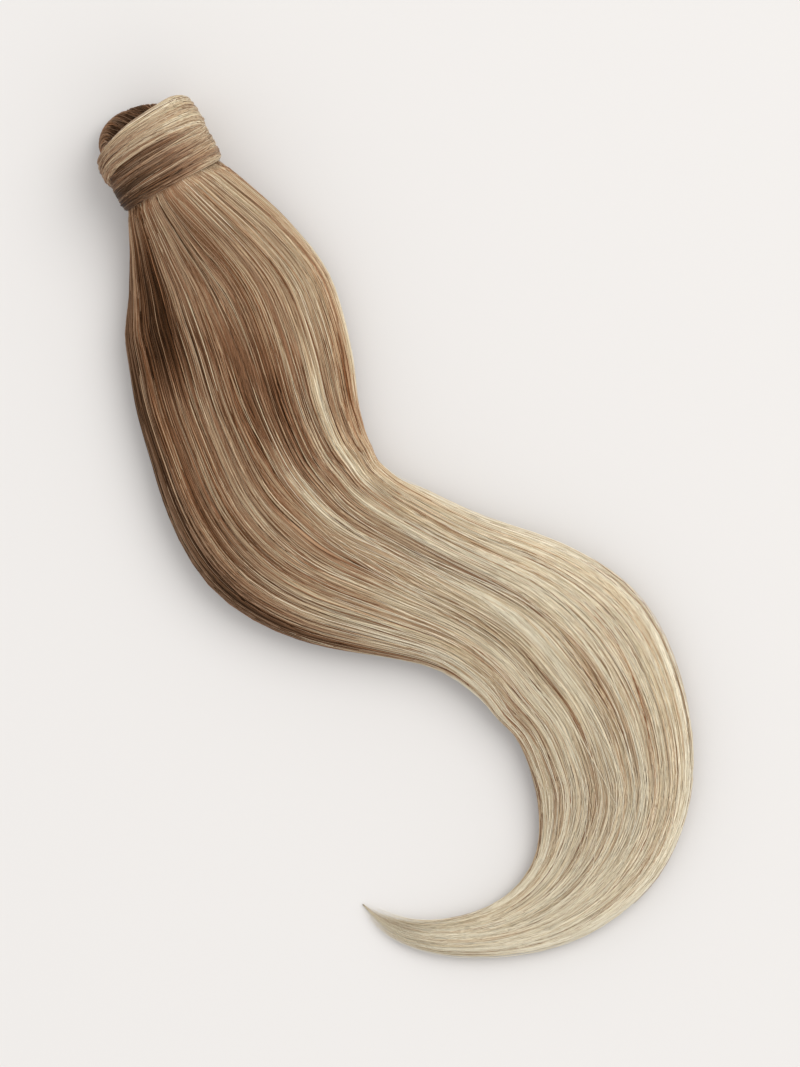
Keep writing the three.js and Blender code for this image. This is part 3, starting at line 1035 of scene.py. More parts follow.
@dataclass(frozen=True)
class HairFinish:
    """Hair: its colour follows the shade and warmth written on the mesh, with fine streaks along it."""

    name: str
    lift: float
    streaks: float
    streak_scale: tuple[float, float]
    roughness: float
    bump: float = 0.0
    bump_strength: float = 0.8
    roughness_swing: float = 0.2
    gleam: float = 0.25
    gleam_paint: Paint = Paint(216, 186, 150)

    def build(self, colours: bpy.types.ShaderNodeTree) -> bpy.types.Material:
        """Builds the material.

        Args:
            colours: The group that all hair shares.

        Returns:
            The material.
        """
        material, bench, shader = new_material(self.name)
        shade = bench.add("ShaderNodeAttribute", attribute_name=SHADE)
        warmth = bench.add("ShaderNodeAttribute", attribute_name=WARMTH)
        uv = bench.add("ShaderNodeUVMap", uv_map=UV_NAME)
        place = bench.add("ShaderNodeMapping")
        place.inputs["Scale"].default_value = (*self.streak_scale, 1.0)
        bench.join(uv.outputs["UV"], place.inputs["Vector"])
        noise = bench.noise(place.outputs["Vector"], 1.0)
        noise.noise_dimensions = "2D"
        swing = bench.math("SUBTRACT", noise.outputs["Fac"], 0.5)
        lift = bench.math("ADD", bench.math("MULTIPLY", swing, self.streaks), self.lift)
        group = bench.add("ShaderNodeGroup")
        group.node_tree = colours
        bench.join(shade.outputs["Fac"], group.inputs["Shade"])
        bench.join(warmth.outputs["Fac"], group.inputs["Warmth"])
        bench.join(lift, group.inputs["Lift"])
        bench.join(group.outputs["Color"], shader.inputs["Base Color"])
        rough = bench.math("ADD", bench.math("MULTIPLY", swing, self.roughness_swing), self.roughness)
        bench.join(rough, shader.inputs["Roughness"])
        shader.inputs["Specular IOR Level"].default_value = self.gleam
        shader.inputs["Specular Tint"].default_value = self.gleam_paint.linear()
        if self.bump:
            normal = bench.bump(noise.outputs["Fac"], self.bump_strength, self.bump)
            bench.join(normal, shader.inputs["Normal"])
        return material


@dataclass(frozen=True)
class WovenBandFinish:
    """Woven elastic: ribs along the root, crossed by finer threads, with painted shade darkening the low
    places between them.
    """

    thread: Paint = Paint(104, 72, 48)
    painted_gap_shade: Paint = Paint(34, 24, 18)
    rib: float = 4200.0
    weft: float = 7800.0
    weave_height: float = 0.35
    rib_height: float = 0.15
    fluff_scale: float = 900.0
    roughness: float = 0.85
    sheen: float = 0.06
    bump: float = 0.0003
    bump_strength: float = 0.7

    def build(self) -> bpy.types.Material:
        """Builds the material.

        Returns:
            The material.
        """
        material, bench, shader = new_material("woven_elastic")
        coordinates = bench.add("ShaderNodeTexCoord")
        parts = bench.add("ShaderNodeSeparateXYZ")
        bench.join(coordinates.outputs["Object"], parts.inputs["Vector"])
        side = bench.math("ADD", parts.outputs["X"], parts.outputs["Z"])
        ribs = bench.math("SINE", bench.math("MULTIPLY", side, self.rib))
        wefts = bench.math("SINE", bench.math("MULTIPLY", parts.outputs["Y"], self.weft))
        weave = bench.math("MULTIPLY", bench.math("MULTIPLY", ribs, wefts), self.weave_height)
        height = bench.math("ADD", weave, bench.math("MULTIPLY", ribs, self.rib_height))
        height = bench.math("ADD", height, 0.5)
        fluff = bench.noise(coordinates.outputs["Object"], self.fluff_scale)
        mixed = bench.math("MULTIPLY", height, bench.math("ADD", fluff.outputs["Fac"], 0.5))
        # Painted shade: the lower the weave, the nearer its colour is to the dark gap colour.
        colour = bench.ramp(mixed, ((0.0, self.painted_gap_shade), (1.0, self.thread)))
        bench.join(colour, shader.inputs["Base Color"])
        shader.inputs["Roughness"].default_value = self.roughness
        shader.inputs["Sheen Weight"].default_value = self.sheen
        normal = bench.bump(height, self.bump_strength, self.bump)
        bench.join(normal, shader.inputs["Normal"])
        return material


@dataclass(frozen=True)
class CombFinish:
    """Polished brown plastic with a soft mottle and fine scratches along the teeth."""

    dark: Paint = Paint(58, 32, 18)
    light: Paint = Paint(112, 66, 36)
    mottle_scale: float = 160.0
    mottle_detail: float = 3.0
    mottle_places: tuple[float, float] = (0.35, 0.7)
    scratch_scale: tuple[float, float, float] = (2200.0, 120.0, 2200.0)
    scratch_roughness: float = 0.16
    roughness: float = 0.14
    coat: float = 0.4
    coat_roughness: float = 0.12

    def build(self) -> bpy.types.Material:
        """Builds the material.

        Returns:
            The material.
        """
        material, bench, shader = new_material("polished_comb")
        coordinates = bench.add("ShaderNodeTexCoord")
        mottle = bench.noise(coordinates.outputs["Object"], self.mottle_scale, self.mottle_detail)
        stops = tuple(zip(self.mottle_places, (self.dark, self.light)))
        bench.join(bench.ramp(mottle.outputs["Fac"], stops), shader.inputs["Base Color"])
        stretch = bench.add("ShaderNodeMapping")
        stretch.inputs["Scale"].default_value = self.scratch_scale
        bench.join(coordinates.outputs["Object"], stretch.inputs["Vector"])
        scratch = bench.noise(stretch.outputs["Vector"], 1.0)
        depth = bench.math("MULTIPLY", scratch.outputs["Fac"], self.scratch_roughness)
        bench.join(bench.math("ADD", depth, self.roughness), shader.inputs["Roughness"])
        shader.inputs["Coat Weight"].default_value = self.coat
        shader.inputs["Coat Roughness"].default_value = self.coat_roughness
        return material


@dataclass(frozen=True)
class FloorFinish:
    """A plain pale floor."""

    paint: Paint = Paint(215, 212, 208)
    grain_scale: float = 400.0
    grain_roughness: float = 0.05
    roughness: float = 0.85
    gleam: float = 0.2

    def build(self) -> bpy.types.Material:
        """Builds the material.

        Returns:
            The material.
        """
        material, bench, shader = new_material("pale_floor")
        coordinates = bench.add("ShaderNodeTexCoord")
        grain = bench.noise(coordinates.outputs["Object"], self.grain_scale)
        shader.inputs["Base Color"].default_value = self.paint.linear()
        depth = bench.math("MULTIPLY", grain.outputs["Fac"], self.grain_roughness)
        bench.join(bench.math("ADD", depth, self.roughness), shader.inputs["Roughness"])
        shader.inputs["Specular IOR Level"].default_value = self.gleam
        return material


def dress(piece: bpy.types.Object, material: bpy.types.Material) -> None:
    """Gives a piece one material in every slot.

    Args:
        piece: The piece.
        material: Its material.
    """
    if not piece.data.materials:
        piece.data.materials.append(material)
    for slot in piece.material_slots:
        slot.material = material


def attach(piece: bpy.types.Object, node: CadNode, material: bpy.types.Material) -> None:
    """Dresses a new piece and puts it in the place of a node.

    Args:
        piece: The new piece.
        node: The node that it stands for.
        material: Its material.
    """
    dress(piece, material)
    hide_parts(node.value)
    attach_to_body(piece, "root")
    LOG.info("%s: %d faces", piece.name, len(piece.data.polygons))


@dataclass(frozen=True)
class HairMaterials:
    """The hair's three finishes."""

    skin: bpy.types.Material
    strands: bpy.types.Material
    wrap_skin: bpy.types.Material

    @classmethod
    def build(cls) -> "HairMaterials":
        """Builds the shared colours and the finishes.

        Returns:
            The finishes.
        """
        colours = HairColours().build()
        # The skins' lift below 0 paints them darker than the strands: painted shade in the gaps between
        # strands, on the tail and on the wound strand.
        skin = HairFinish("tail_hair_skin", -0.14, 0.7, (1300.0, 7.0), 0.5, bump=0.0003)
        strands = HairFinish("hair_strands", 0.04, 0.14, (9.0, 300.0), 0.4)
        wrap_skin = HairFinish("wrap_hair_skin", -0.14, 0.6, (160.0, 7.0), 0.5, bump=0.0003)
        return cls(skin.build(colours), strands.build(colours), wrap_skin.build(colours))


@dataclass(frozen=True)
class StrandGroup:
    """One mesh of the tail's strands.

    Args:
        name: The piece's name.
        count: Number of strands.
        first: Degrees round the section where they begin.
        last: Degrees where they end.
        low: Share of the tail's length where the middles of the strands begin.
        high: Share where they end.
        seed: Fixes its chances.
        span: Shortest and longest strand, as shares of the tail's length.
        widths: Thinnest and thickest strand, in millimetres.
        rise: Lowest and highest place above the locks, in millimetres.
        slant: How far a strand crosses the others, in degrees.
        shade: How much lighter than the hair below.
    """

    name: str
    count: int
    first: float
    last: float
    low: float
    high: float
    seed: int
    span: tuple[float, float] = (0.09, 0.2)
    widths: tuple[float, float] = (0.19, 0.33)
    rise: tuple[float, float] = (0.05, 0.5)
    slant: float = 1.5
    shade: float = 0.0


@dataclass(frozen=True)
class StrandHabit:
    """How the tail's strands lie, in shares of its length unless another unit is given.

    Args:
        tries: Places drawn for each strand, of which the thin part of the tail keeps fewer.
        full_half: Half width in millimetres from which every place is kept.
        thin_half: Millimetres added to the half width, so that the tip keeps some.
        root_reach: How far strands start inside the wound strand.
        root_scatter: Most that chance adds to that.
        tip_reach: Where strands end at the tip.
        tip_scatter: Most that chance adds to that.
        tip_crowding: Below 1, more strands reach far.
        waves: Fewest and most waves in the tail's length.
        sway: Degrees that a strand sways.
        looser: How much more strands stray in the curl.
        looser_from: Where they begin to.
        looser_over: Length over which that grows.
        layering: Above 1, more strands lie low.
        ripple: Height of small ripples, in millimetres.
        ripple_waves: How many more waves these have.
        comes_up: Share of a strand over which it comes up out of the skin.
        goes_down: Share of a strand over which it goes down again.
        depth: How deep its ends lie, in millimetres.
        free_from: Strands that end beyond this stay free at the tip.
        root_height: Share of its height that a strand has under the wound strand.
        root_over: Length over which it gains the rest.
        fray: Millimetres that strands stray sideways at the tip.
        fray_from: Where that begins.
    """

    tries: int = 3
    full_half: float = 52.0
    thin_half: float = 6.0
    root_reach: float = 0.006
    root_scatter: float = 0.006
    tip_reach: float = 0.93
    tip_scatter: float = 0.068
    tip_crowding: float = 0.6
    waves: tuple[float, float] = (0.6, 2.0)
    sway: float = 0.5
    looser: float = 2.5
    looser_from: float = 0.66
    looser_over: float = 0.2
    layering: float = 1.5
    ripple: float = 0.13
    ripple_waves: float = 1.5
    comes_up: float = 0.12
    goes_down: float = 0.16
    depth: float = 0.7
    free_from: float = 0.9
    root_height: float = 0.3
    root_over: float = 0.02
    fray: float = 1.1
    fray_from: float = 0.84


@dataclass(frozen=True)
class StrandLook:
    """How thick single strands are and how their tone strays from the hair round them.

    Args:
        bold: Share of strands that are bolder.
        bold_width: How much wider these are.
        bold_tone: How far their shade strays.
        fine_tone: How far the others' shade strays.
        darker: How much more often it strays to the dark side.
        tone_limits: Darkest and lightest that it may get.
        root_tone: Share of the straying at the root, which grows to all of it.
        root_tone_from: Where that begins, as a share of the tail's length.
        curl_calm: How much less the shade strays in the curl.
        curl_calm_from: Where that begins.
        tone_over: Length over which both change.
        layer_painted_shade: Painted shade: how much lighter the highest strands are than the lowest, as the
            lower layers lie in shade.
        layer_middle: Layer that keeps its shade.
        warmth: How far the warmth strays.
        dark_warmth: How much warmer dark strands are.
        start_taper: Share of a strand over which it gains its width.
        start_width: Share of its width at its start.
        end_taper: Share of a strand over which it loses its width.
        end_width: Share of its width at its end.
        tip_width: Share of its width at the tail's tip.
        full_half: Half width of the tail, in millimetres, from which strands are full.
    """

    bold: float = 0.3
    bold_width: float = 1.45
    bold_tone: float = 0.27
    fine_tone: float = 0.13
    darker: float = -0.25
    tone_limits: tuple[float, float] = (-0.5, 0.24)
    root_tone: float = 0.8
    root_tone_from: float = 0.1
    curl_calm: float = 0.28
    curl_calm_from: float = 0.5
    tone_over: float = 0.2
    layer_painted_shade: float = 0.1
    layer_middle: float = 0.4
    warmth: float = 0.14
    dark_warmth: float = 1.2
    start_taper: float = 0.2
    start_width: float = 0.2
    end_taper: float = 0.3
    end_width: float = 0.12
    tip_width: float = 0.45
    full_half: float = 20.0


TAIL_GROUPS = (
    StrandGroup("strands_upper", 2450, -12, 192, -0.02, 0.34, 11),
    StrandGroup("strands_middle", 2450, -12, 192, 0.24, 0.64, 12),
    StrandGroup("strands_lower", 2450, -12, 192, 0.54, 0.99, 13, span=(0.13, 0.27)),
    StrandGroup("strands_under", 1000, 192, 348, 0.0, 0.97, 14),
    StrandGroup(
        "strands_tip",
        260,
        -12,
        192,
        0.87,
        0.97,
        18,
        span=(0.12, 0.22),
        widths=(0.2, 0.3),
        rise=(0.0, 0.5),
        slant=3.0,
    ),
    StrandGroup(
        "strands_crossing",
        560,
        5,
        178,
        0.4,
        0.98,
        15,
        span=(0.14, 0.26),
        widths=(0.2, 0.3),
        rise=(0.45, 0.9),
        slant=7.0,
        shade=0.2,
    ),
    StrandGroup(
        "strands_loose",
        160,
        -14,
        14,
        0.45,
        0.93,
        16,
        span=(0.12, 0.24),
        widths=(0.18, 0.27),
        rise=(0.3, 2.4),
        slant=5.0,
        shade=0.05,
    ),
)


@dataclass(frozen=True)
class Tail:
    """The tail and the root's own hair, with the pocket for the band inside."""

    form: TailForm
    root: RootForm
    relief: LockRelief
    tone: HairTone
    placement: Placement
    habit: StrandHabit = StrandHabit()
    look: StrandLook = StrandLook()
    rings: int = 150
    ring_crowding: float = 0.93
    sides: int = 200
    skin_levels: int = 2
    strand_levels: int = 3
    skin_depth: float = 0.75
    inset: float = 0.45
    thinned: float = 0.8
    thin_from: float = 0.88
    thin_over: float = 0.09
    root_rings: int = 8
    root_start: float = 0.12
    pocket_start: float = 0.1
    pocket_painted_shade: float = 0.16
    rim_steps: int = 6
    calm_half: float = 18.0
    calm_root: float = 0.25
    calm_over: float = 0.05
    edge_relief: float = 0.3
    steps: int = 13

    def place(self, at: np.ndarray, angle: np.ndarray) -> np.ndarray:
        """Degrees round the tail in the hair's own flow."""
        return np.degrees(angle) + self.turned(at)

    def turned(self, at: np.ndarray) -> np.ndarray:
        """Degrees that the hair has wandered round the section."""
        return column_at(TAIL_FLOW, "at", "turned", np.clip(at, 0, 1))

    def calm(self, at: np.ndarray) -> np.ndarray:
        """How much of the relief shows: less at the wound strand's edge and towards the tip."""
        grown = self.calm_root + (1 - self.calm_root) * smooth_step(at / self.calm_over)
        return np.minimum(1, self.form.section(at).half / self.calm_half) * grown

    def edge(self, angle: np.ndarray) -> np.ndarray:
        """How much of the relief shows round the section: least at the two side edges."""
        return self.edge_relief + (1 - self.edge_relief) * np.abs(np.sin(angle))

    def root_layers(self, angle: np.ndarray) -> tuple[np.ndarray, np.ndarray, np.ndarray]:
        """The root's rings, from the tail over the lip and into the pocket.

        Args:
            angle: Where round the root each side is.

        Returns:
            The rings outside, on the lip's rounding, and inside.
        """
        radius = self.root.wall / 2
        lip = self.root.lip(angle)
        outer = np.linspace(self.root_start, 1, self.root_rings)[:, None] * (lip - radius)
        inner = np.linspace(1, 0, self.root_rings)[:, None] * (lip - radius - self.pocket_start)
        inner = inner + self.pocket_start
        turn = np.linspace(0, math.pi, self.rim_steps + 2)[1:-1, None]
        rim = lip + (np.sin(turn) - 1) * radius
        rim_grow = (np.cos(turn) - 1) * radius
        outside, _ = self.root.surface(outer, angle + 0 * outer, 0 * outer)
        edge, _ = self.root.surface(rim, angle + 0 * rim, rim_grow + 0 * rim)
        inside, _ = self.root.surface(inner, angle + 0 * inner, 0 * inner - self.root.wall)
        return outside, edge, inside

    def build_skin(self) -> bpy.types.Object:
        """The skin under the strands: tip, tail, root, lip and pocket in one closed surface.

        Returns:
            The new piece.
        """
        angle = 2 * math.pi * np.arange(self.sides)[None, :] / self.sides
        at = (1 - np.linspace(0, 1, self.rings) ** self.ring_crowding)[:, None] + 0 * angle
        place = self.place(at, angle)
        height = self.relief.height(at, place, self.skin_levels) * self.calm(at) * self.edge(angle)
        thinner = smooth_step((at - self.thin_from) / self.thin_over)
        thinned = self.thinned * self.form.section(at).half * thinner
        depth = self.skin_depth * self.calm(at) + thinned
        tail, _ = self.form.surface(at, angle + 0 * at, height - depth)
        outside, edge, inside = self.root_layers(angle)
        rings = np.concatenate([tail, outside, edge, inside])
        shade, warmth = self.tone.read(at, place, self.skin_levels)
        root_at = np.zeros((len(rings) - len(tail), self.sides))
        root_shade, root_warmth = self.tone.read(root_at, self.place(root_at, angle), self.skin_levels)
        # Painted shade: from halfway up the root's outside, over the lip and into the pocket, the hair is
        # set dark as shade in the mouth.
        root_shade[len(outside) // 2 :] = self.pocket_painted_shade
        shades = np.concatenate([shade, root_shade])
        warmths = np.concatenate([warmth, root_warmth])
        return SkinMaker(self.placement).build("tail_skin", rings, shades, warmths)

    def reach(
        self, group: StrandGroup, chance: np.random.Generator
    ) -> tuple[np.ndarray, np.ndarray, np.ndarray]:
        """Spreads strands along the tail, fewer where it is thin.

        Args:
            group: Which strands.
            chance: The group's chances.

        Returns:
            Where each strand starts, has its middle and ends.
        """
        habit, count = self.habit, group.count
        middles = chance.uniform(group.low, group.high, count * habit.tries)
        room = self.form.section(middles).half + habit.thin_half
        keep = chance.uniform(0, habit.full_half, len(middles)) < room
        middle = np.resize(middles[keep], count)
        span = chance.uniform(*group.span, count)
        first = -habit.root_reach - chance.uniform(0, habit.root_scatter, count)
        last = habit.tip_reach + habit.tip_scatter * chance.uniform(0, 1, count) ** habit.tip_crowding
        return np.maximum(middle - span / 2, first), middle, np.minimum(middle + span / 2, last)

    def settle(self, start: np.ndarray, end: np.ndarray, at: np.ndarray, height: np.ndarray) -> np.ndarray:
        """Lets strands come up out of the skin and go down again, but for free and bound ends.

        Args:
            start: Where each strand starts.
            end: Where it ends.
            at: Share of the tail's length, step by step.
            height: Height above the skin, step by step, in millimetres.

        Returns:
            Distance out of the section, in millimetres.
        """
        habit = self.habit
        calm = self.calm(at)
        t = np.linspace(0, 1, self.steps)[None, :]
        ends = np.minimum(smooth_step(t / habit.comes_up), smooth_step((1 - t) / habit.goes_down))
        free = (end > habit.free_from)[:, None] & (t > 0.5)
        ends = np.where(free, 1.0, ends)
        bound = (start < 0)[:, None] & (t < 0.5)
        grown = habit.root_height + (1 - habit.root_height) * smooth_step(at / habit.root_over)
        ends = np.where(bound, grown, ends)
        sunk = (1 - ends) * np.where(bound, 0.0, habit.depth) * calm
        return height * calm * ends - sunk - self.inset * calm

    def widths(self, at: np.ndarray, full: np.ndarray) -> np.ndarray:
        """Tapers strands towards both ends and the tail's tip.

        Args:
            at: Share of the tail's length, step by step.
            full: Each strand's full width, in millimetres.

        Returns:
            The width step by step.
        """
        look = self.look
        t = np.linspace(0, 1, self.steps)[None, :]
        grows = smooth_step(t / look.start_taper) * (1 - look.start_width) + look.start_width
        shrinks = smooth_step((1 - t) / look.end_taper) * (1 - look.end_width) + look.end_width
        room = np.minimum(1, self.form.section(at).half / look.full_half)
        return full * np.minimum(grows, shrinks) * (look.tip_width + (1 - look.tip_width) * room)

    def stray(self, at: np.ndarray, bold: np.ndarray, chance: np.random.Generator) -> np.ndarray:
        """How much lighter each strand is than the hair round it.

        Args:
            at: Share of the tail's length, step by step.
            bold: Which strands are bolder.
            chance: The group's chances.

        Returns:
            The difference in shade, step by step.
        """
        look = self.look
        strays = chance.normal(look.darker, 1, len(bold))[:, None]
        spread = np.where(bold, look.bold_tone, look.fine_tone) * strays
        grown = smooth_step((at - look.root_tone_from) / look.tone_over)
        calmed = look.curl_calm * smooth_step((at - look.curl_calm_from) / look.tone_over)
        return np.clip(spread * (look.root_tone + (1 - look.root_tone) * grown - calmed), *look.tone_limits)

    def build_strands(self, group: StrandGroup) -> bpy.types.Object:
        """Strands that come up out of the skin, lie along the flow and go down into it again.

        Args:
            group: Which strands.

        Returns:
            The new piece.
        """
        habit, look, count = self.habit, self.look, group.count
        chance = np.random.default_rng(group.seed)
        start, middle, end = self.reach(group, chance)
        t = np.linspace(0, 1, self.steps)[None, :]
        at = start[:, None] + (end - start)[:, None] * t
        own = chance.uniform(group.first, group.last, count)
        wave = chance.uniform(*habit.waves, count)[:, None]
        phase = chance.uniform(0, 2 * math.pi, count)[:, None]
        sway = chance.normal(0, habit.sway, count)[:, None]
        slant = chance.normal(0, group.slant, count)[:, None]
        loose = 1 + habit.looser * smooth_step((at - habit.looser_from) / habit.looser_over)
        strays = sway * np.sin(2 * math.pi * wave * at + phase) + slant * (t - 0.5)
        place = (own + self.turned(middle))[:, None] + loose * strays
        angle = np.radians(place - self.turned(at))
        layer = chance.uniform(0, 1, count)[:, None] ** habit.layering
        ripple = habit.ripple * np.sin(2 * math.pi * (wave + habit.ripple_waves) * at + 2 * phase)
        rise = group.rise[0] + (group.rise[1] - group.rise[0]) * layer
        relief = self.relief.height(at, place, self.strand_levels) * self.edge(angle)
        lift = self.settle(start, end, at, relief + rise + ripple)
        places, out = self.form.surface(at, angle, lift)
        frays = smooth_step((at - habit.fray_from) / (1 - habit.fray_from))
        fray = chance.normal(0, habit.fray, count)[:, None] * frays
        facing = self.form.heading(at)
        places = places + np.stack([-np.sin(facing) * fray, np.cos(facing) * fray, 0 * fray], axis=-1)
        bold = chance.uniform(0, 1, count)[:, None] < look.bold
        full = chance.uniform(*group.widths, count)[:, None] * np.where(bold, look.bold_width, 1.0)
        shade, warmth = self.tone.read(at, place, self.strand_levels)
        stray = self.stray(at, bold, chance)
        # Higher strands are painted lighter and lower ones darker: painted shade among the layers.
        shade = shade + group.shade + stray + look.layer_painted_shade * (layer - look.layer_middle)
        own_warmth = chance.normal(0, look.warmth, count)[:, None]
        warmth = warmth + own_warmth - look.dark_warmth * np.minimum(stray, 0)
        maker = StrandMaker(self.placement)
        return maker.build(group.name, places, out, self.widths(at, full), shade, warmth)

    def build(self, materials: HairMaterials) -> None:
        """Builds and dresses the skin and the strands.

        Args:
            materials: The hair's finishes.
        """
        attach(self.build_skin(), CadNode.TAIL, materials.skin)
        for group in TAIL_GROUPS:
            attach(self.build_strands(group), CadNode.TAIL, materials.strands)


@dataclass(frozen=True)
class RootMouth:
    """The mouth's hair, which runs slanting over the lip and into the pocket; its dark shade is partly the
    roots' own darker hair and partly painted shade of the mouth.
    """

    root: RootForm
    placement: Placement
    count: int = 650
    seed: int = 17
    steps: int = 13
    starts: tuple[float, float] = (-13.0, 4.0)
    spans: tuple[float, float] = (9.0, 16.0)
    slant: float = 30.0
    slant_spread: float = 12.0
    comes_up: float = 0.2
    height: float = 0.05
    layers: float = 0.2
    depth: float = 0.25
    strand_widths: tuple[float, float] = (0.22, 0.4)
    end_width: float = 0.2
    shade: float = 0.22
    shade_spread: float = 0.08
    layer_painted_shade: float = 0.06
    warmth: float = -0.1
    warmth_spread: float = 0.3

    def places(self, gone: np.ndarray, angle: np.ndarray) -> tuple[np.ndarray, np.ndarray]:
        """Places on a way over the lip, from the root's outside into the pocket.

        Args:
            gone: Distance along the way, 0 where the lip's rounding begins.
            angle: Where round the root.

        Returns:
            The places and the outward directions there.
        """
        radius = self.root.wall / 2
        turn = np.clip(gone / radius, 0, math.pi)
        along = self.root.lip(angle) - radius + np.minimum(gone, 0) + radius * np.sin(turn)
        along = along - np.maximum(gone - math.pi * radius, 0)
        places, out = self.root.surface(along, angle, radius * (np.cos(turn) - 1))
        ahead = np.stack([0 * turn, np.ones_like(turn), 0 * turn], axis=-1)
        return places, out * np.cos(turn)[..., None] + ahead * np.sin(turn)[..., None]

    def build_strands(self) -> bpy.types.Object:
        """The strands over the lip.

        Returns:
            The new piece.
        """
        chance = np.random.default_rng(self.seed)
        count = self.count
        t = np.linspace(0, 1, self.steps)[None, :]
        start = chance.uniform(*self.starts, count)[:, None]
        gone = start + chance.uniform(*self.spans, count)[:, None] * t
        own = chance.uniform(0, 2 * math.pi, count)[:, None]
        slant = np.radians(chance.normal(self.slant, self.slant_spread, count))[:, None]
        angle = own + slant * (t - 0.5)
        layer = chance.uniform(0, 1, count)[:, None]
        places, out = self.places(gone, angle)
        ends = np.minimum(smooth_step(t / self.comes_up), smooth_step((1 - t) / self.comes_up))
        lift = self.height + self.layers * layer * ends - self.depth * (1 - ends)
        taper = self.end_width + (1 - self.end_width) * ends
        widths = chance.uniform(*self.strand_widths, count)[:, None] * taper
        own_shade = chance.normal(0, self.shade_spread, count)[:, None]
        # Dark roots with painted shade of the mouth; higher strands are painted lighter, as painted shade
        # among the layers.
        shade = self.shade + own_shade + self.layer_painted_shade * layer + 0 * t
        own_warmth = chance.normal(0, self.warmth_spread, count)[:, None]
        warmth = self.warmth + own_warmth + 0 * t
        maker = StrandMaker(self.placement)
        return maker.build("mouth_strands", places + out * lift[..., None], out, widths, shade, warmth)

    def build(self, materials: HairMaterials) -> None:
        """Builds and dresses the strands.

        Args:
            materials: The hair's finishes.
        """
        attach(self.build_strands(), CadNode.TAIL, materials.strands)


@dataclass(frozen=True)
class Fold:
    """One kind of small fold that runs along the wound strand.

    Args:
        height: How high it is, in millimetres.
        across: How many lie across, in radians for half the width.
        bend: How far they bend, in radians.
        turns: How fast they bend along the strand, in radians a turn.
        start: Where the bends start, in radians.
    """

    height: float
    across: float
    bend: float
    turns: float
    start: float


WRAP_FOLDS = (
    Fold(height=0.1, across=9, bend=1.3, turns=5, start=0),
    Fold(height=0.06, across=31, bend=2.1, turns=4, start=1),
)


@dataclass(frozen=True)
class WoundHabit:
    """How strands lie on the wound strand, in shares of its width and its turns.

    Args:
        spans: Shortest and longest strand, in turns.
        end_gap: How far strands stay from a turn's ends, in turns.
        spread: How far their middles lie across.
        limit: How far any place of theirs lies across.
        fan: How far they cross the others.
        wobble: How far they swing across.
        wobble_rate: How fast, in radians a turn.
        layering: Above 1, more strands lie low.
        layers: Height of the highest, in millimetres.
        ripple: Height of small ripples, in millimetres.
        ripple_rate: How fast these come, in radians a turn.
        comes_up: Share of a strand over which it comes up.
        goes_down: Share of a strand over which it goes down again.
        depth: How deep its ends lie, in millimetres.
    """

    spans: tuple[float, float] = (0.25, 0.5)
    end_gap: float = 0.01
    spread: float = 0.99
    limit: float = 0.995
    fan: float = 0.2
    wobble: float = 0.03
    wobble_rate: float = 9.0
    layering: float = 1.5
    layers: float = 0.3
    ripple: float = 0.08
    ripple_rate: float = 17.0
    comes_up: float = 0.15
    goes_down: float = 0.18
    depth: float = 0.6


@dataclass(frozen=True)
class WoundLook:
    """How thick the wound strand's single strands are and how their tone strays.

    Args:
        widths: Thinnest and thickest, in millimetres.
        end_width: Share of its width that a strand has at its ends.
        bold: Share of strands that are bolder.
        bold_width: How much wider these are.
        bold_tone: How far their shade strays.
        fine_tone: How far the others' shade strays.
        bands: How much lighter and darker bands across the strand are.
        band_rate: How many bands there are, in radians for half the width.
        band_start: Where they start, in radians.
        warmth: How warm the strands are.
        warmth_spread: How far that strays.
    """

    widths: tuple[float, float] = (0.2, 0.34)
    end_width: float = 0.25
    bold: float = 0.3
    bold_width: float = 1.3
    bold_tone: float = 0.17
    fine_tone: float = 0.09
    bands: float = 0.06
    band_rate: float = 8.0
    band_start: float = 3.0
    warmth: float = -0.15
    warmth_spread: float = 0.25


